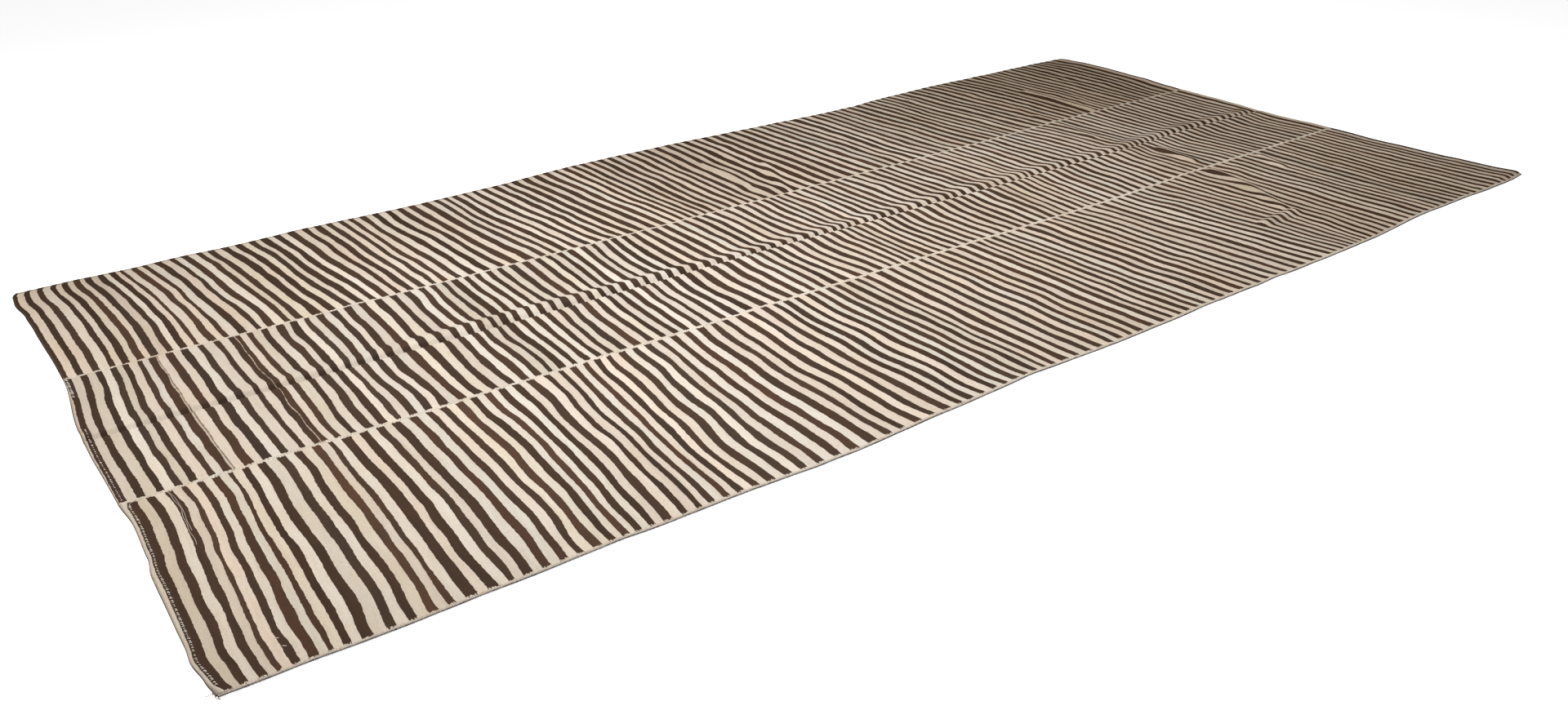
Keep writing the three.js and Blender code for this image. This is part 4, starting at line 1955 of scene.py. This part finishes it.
    def loose_wefts(self) -> bpy.types.Object:
        """Lays in the two pale wefts that show in a brown stripe beside the near seam."""
        guides = []
        for seed, cloth, end in ((61, 88.0, 0.66), (62, 91.4, 0.74)):
            along, across = STRIPS[0].follow(cloth, np.linspace(0.992, end, 60))
            wander = Sway(seed, along=9000, across=60, size=0.8).at(along, across)
            guides.append(Guide(along + wander, across, self.cloth_face + 0.1))
        return self.loose(Row("loose_wefts", yarn=0.4), guides, self.cloth_yarn)

    def darns(self) -> bpy.types.Object:
        """Sews two small repairs into a brown stripe near the left end."""
        share = np.linspace(-1.0, 1.0, 7)
        guides = [
            Guide(along + 3.0 * share, across - 2.4 * share, self.cloth_face + 0.2)
            for along, across in ((126.0, 88.0), (127.5, 60.0))
        ]
        return self.loose(Row("darns", yarn=0.75), guides, self.ivory_yarn)

    def loose_ends(self) -> bpy.types.Object:
        """Leaves a few frayed ends of yarn at the worn near corner."""
        random = np.random.default_rng(75)
        share = np.linspace(0.0, 1.0, 8)
        guides = []
        for _ in range(9):
            along, across = random.uniform((-2.0, 4.0), (10.0, 16.0))
            turn = random.uniform(-2.6, -1.5) + random.uniform(-0.6, 0.6) * share
            reach = random.uniform(8.0, 17.0) * share
            guides.append(Guide(along + reach * np.cos(turn), across + reach * np.sin(turn), 1.4))
        return self.loose(Row("loose_ends", yarn=0.55), guides, self.frayed_yarn)


@dataclass(frozen=True)
class Studio:
    """The pale floor, the soft lights and the camera.

    Attributes:
        floor_side: The floor's side, in metres.
        floor_shade: How pale the floor is to the rug that it lights.
        floor_seen: How pale it is to the camera.
        floor_glow: How much light it adds there, so that it reads as plain white.
        camera_place: Where the camera stands, in metres.
        camera_right: The direction to the picture's right.
        camera_up: The direction to its top.
        focal_share: The lens's focal length as a share of the picture's width.
        lamp_place: Where the lamp hangs, in metres.
        lamp_sides: Its length and its width, in metres.
        lamp_power: Its power, in watts.
        sky: How strong the even light from all round is.
    """

    floor_side: float = 90.0
    floor_shade: Paint = (0.3, 0.3, 0.3, 1.0)
    floor_seen: Paint = (0.9, 0.9, 0.9, 1.0)
    floor_glow: float = 0.86
    camera_place: tuple[float, float, float] = (-2.25, -2.791, 1.382)
    camera_right: tuple[float, float, float] = (0.80358, -0.59505, -0.01358)
    camera_up: tuple[float, float, float] = (0.27882, 0.35618, 0.89185)
    focal_share: float = 1572 / 1920
    lamp_place: tuple[float, float, float] = (-0.773, -0.2215, 2.28)
    lamp_sides: tuple[float, float] = (4.1, 1.9)
    lamp_power: float = 106.0
    sky: float = 0.06

    def floor(self) -> None:
        """Lays the pale floor."""
        half = self.floor_side / 2
        corners = np.array([(-half, -half, 0), (half, -half, 0), (half, half, 0), (-half, half, 0)])
        material, tree, surface = new_finish("pale_floor")
        seen = tree.add("ShaderNodeLightPath").outputs["Is Camera Ray"]
        tree.fill(
            surface,
            Base_Color=tree.mix(seen, self.floor_shade, self.floor_seen),
            Roughness=0.9,
            Specular_IOR_Level=0.1,
            Emission_Color=(1.0, 1.0, 1.0, 1.0),
            Emission_Strength=tree.math("MULTIPLY", seen, self.floor_glow),
        )
        show("floor", new_mesh("floor", corners, np.array([[0, 1, 2, 3]])), material)

    def lights(self) -> None:
        """Hangs the large soft lamp and fills the room with even light."""
        lamp = bpy.data.lights.new("lamp", "AREA")
        lamp.shape = "RECTANGLE"
        lamp.size, lamp.size_y = self.lamp_sides
        lamp.energy = self.lamp_power
        hung = bpy.data.objects.new("lamp", lamp)
        hung.location = self.lamp_place
        bpy.context.scene.collection.objects.link(hung)
        world = bpy.data.worlds.new("room")
        world.use_nodes = True
        Tree(world.node_tree).fill(
            world.node_tree.nodes["Background"], Color=(1.0, 1.0, 1.0, 1.0), Strength=self.sky
        )
        bpy.context.scene.world = world

    def camera(self) -> None:
        """Sets up the camera at the photograph's place and angle."""
        data = bpy.data.cameras.new("camera")
        data.sensor_fit = "HORIZONTAL"
        data.lens = data.sensor_width * self.focal_share
        data.clip_end = 200.0
        right, up = Vector(self.camera_right), Vector(self.camera_up)
        turn = Matrix((right, up, right.cross(up))).transposed()
        held = bpy.data.objects.new("camera", data)
        held.matrix_world = Matrix.Translation(self.camera_place) @ turn.to_4x4()
        bpy.context.scene.collection.objects.link(held)
        bpy.context.scene.camera = held

    def build(self) -> None:
        """Sets up the whole studio."""
        self.floor()
        self.lights()
        self.camera()
        bpy.context.scene.view_settings.view_transform = "Standard"


def attach(piece: bpy.types.Object) -> None:
    """Ties a piece to the rug's body and reports it."""
    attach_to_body(piece, BODY)
    LOG.info("%s: %d faces", piece.name, len(piece.data.polygons))


def main() -> None:
    """Builds the rug and the studio, and reports each piece."""
    logging.basicConfig(level=logging.INFO, format="%(message)s")
    Studio().build()
    groups = Groups()
    wool = StripedWool("striped_wool").make(groups)
    cloths = []
    for strip in STRIPS:
        cloths.append(strip.make(wool))
        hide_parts(strip.name)
        attach(cloths[-1])
    ivory, cloth_like, frayed, near_edge, far_edge = (
        yarn.make(groups)
        for yarn in (
            SewingYarn("ivory_yarn", (244, 237, 224)),
            SewingYarn("cloth_yarn", (231, 219, 204)),
            SewingYarn("frayed_yarn", (150, 124, 104)),
            # Its outer and lower side gets painted shade.
            SewingYarn("near_edge_yarn", (236, 224, 208), outside=0.95),
            SewingYarn("far_edge_yarn", (228, 213, 198), beside_brown=(84, 68, 57)),
        )
    )
    sewing = Sewing(ivory, cloth_like, frayed, {Line.NEAR_EDGE: near_edge, Line.FAR_EDGE: far_edge})
    on_near = [sewing.teeth(), sewing.loose_wefts(), sewing.darns(), sewing.loose_ends()]
    on_middle = [*sewing.seams(), *sewing.hems()]
    for piece in (*on_near, *on_middle, *sewing.bindings()):
        attach(piece)


if __name__ == "__main__":
    main()
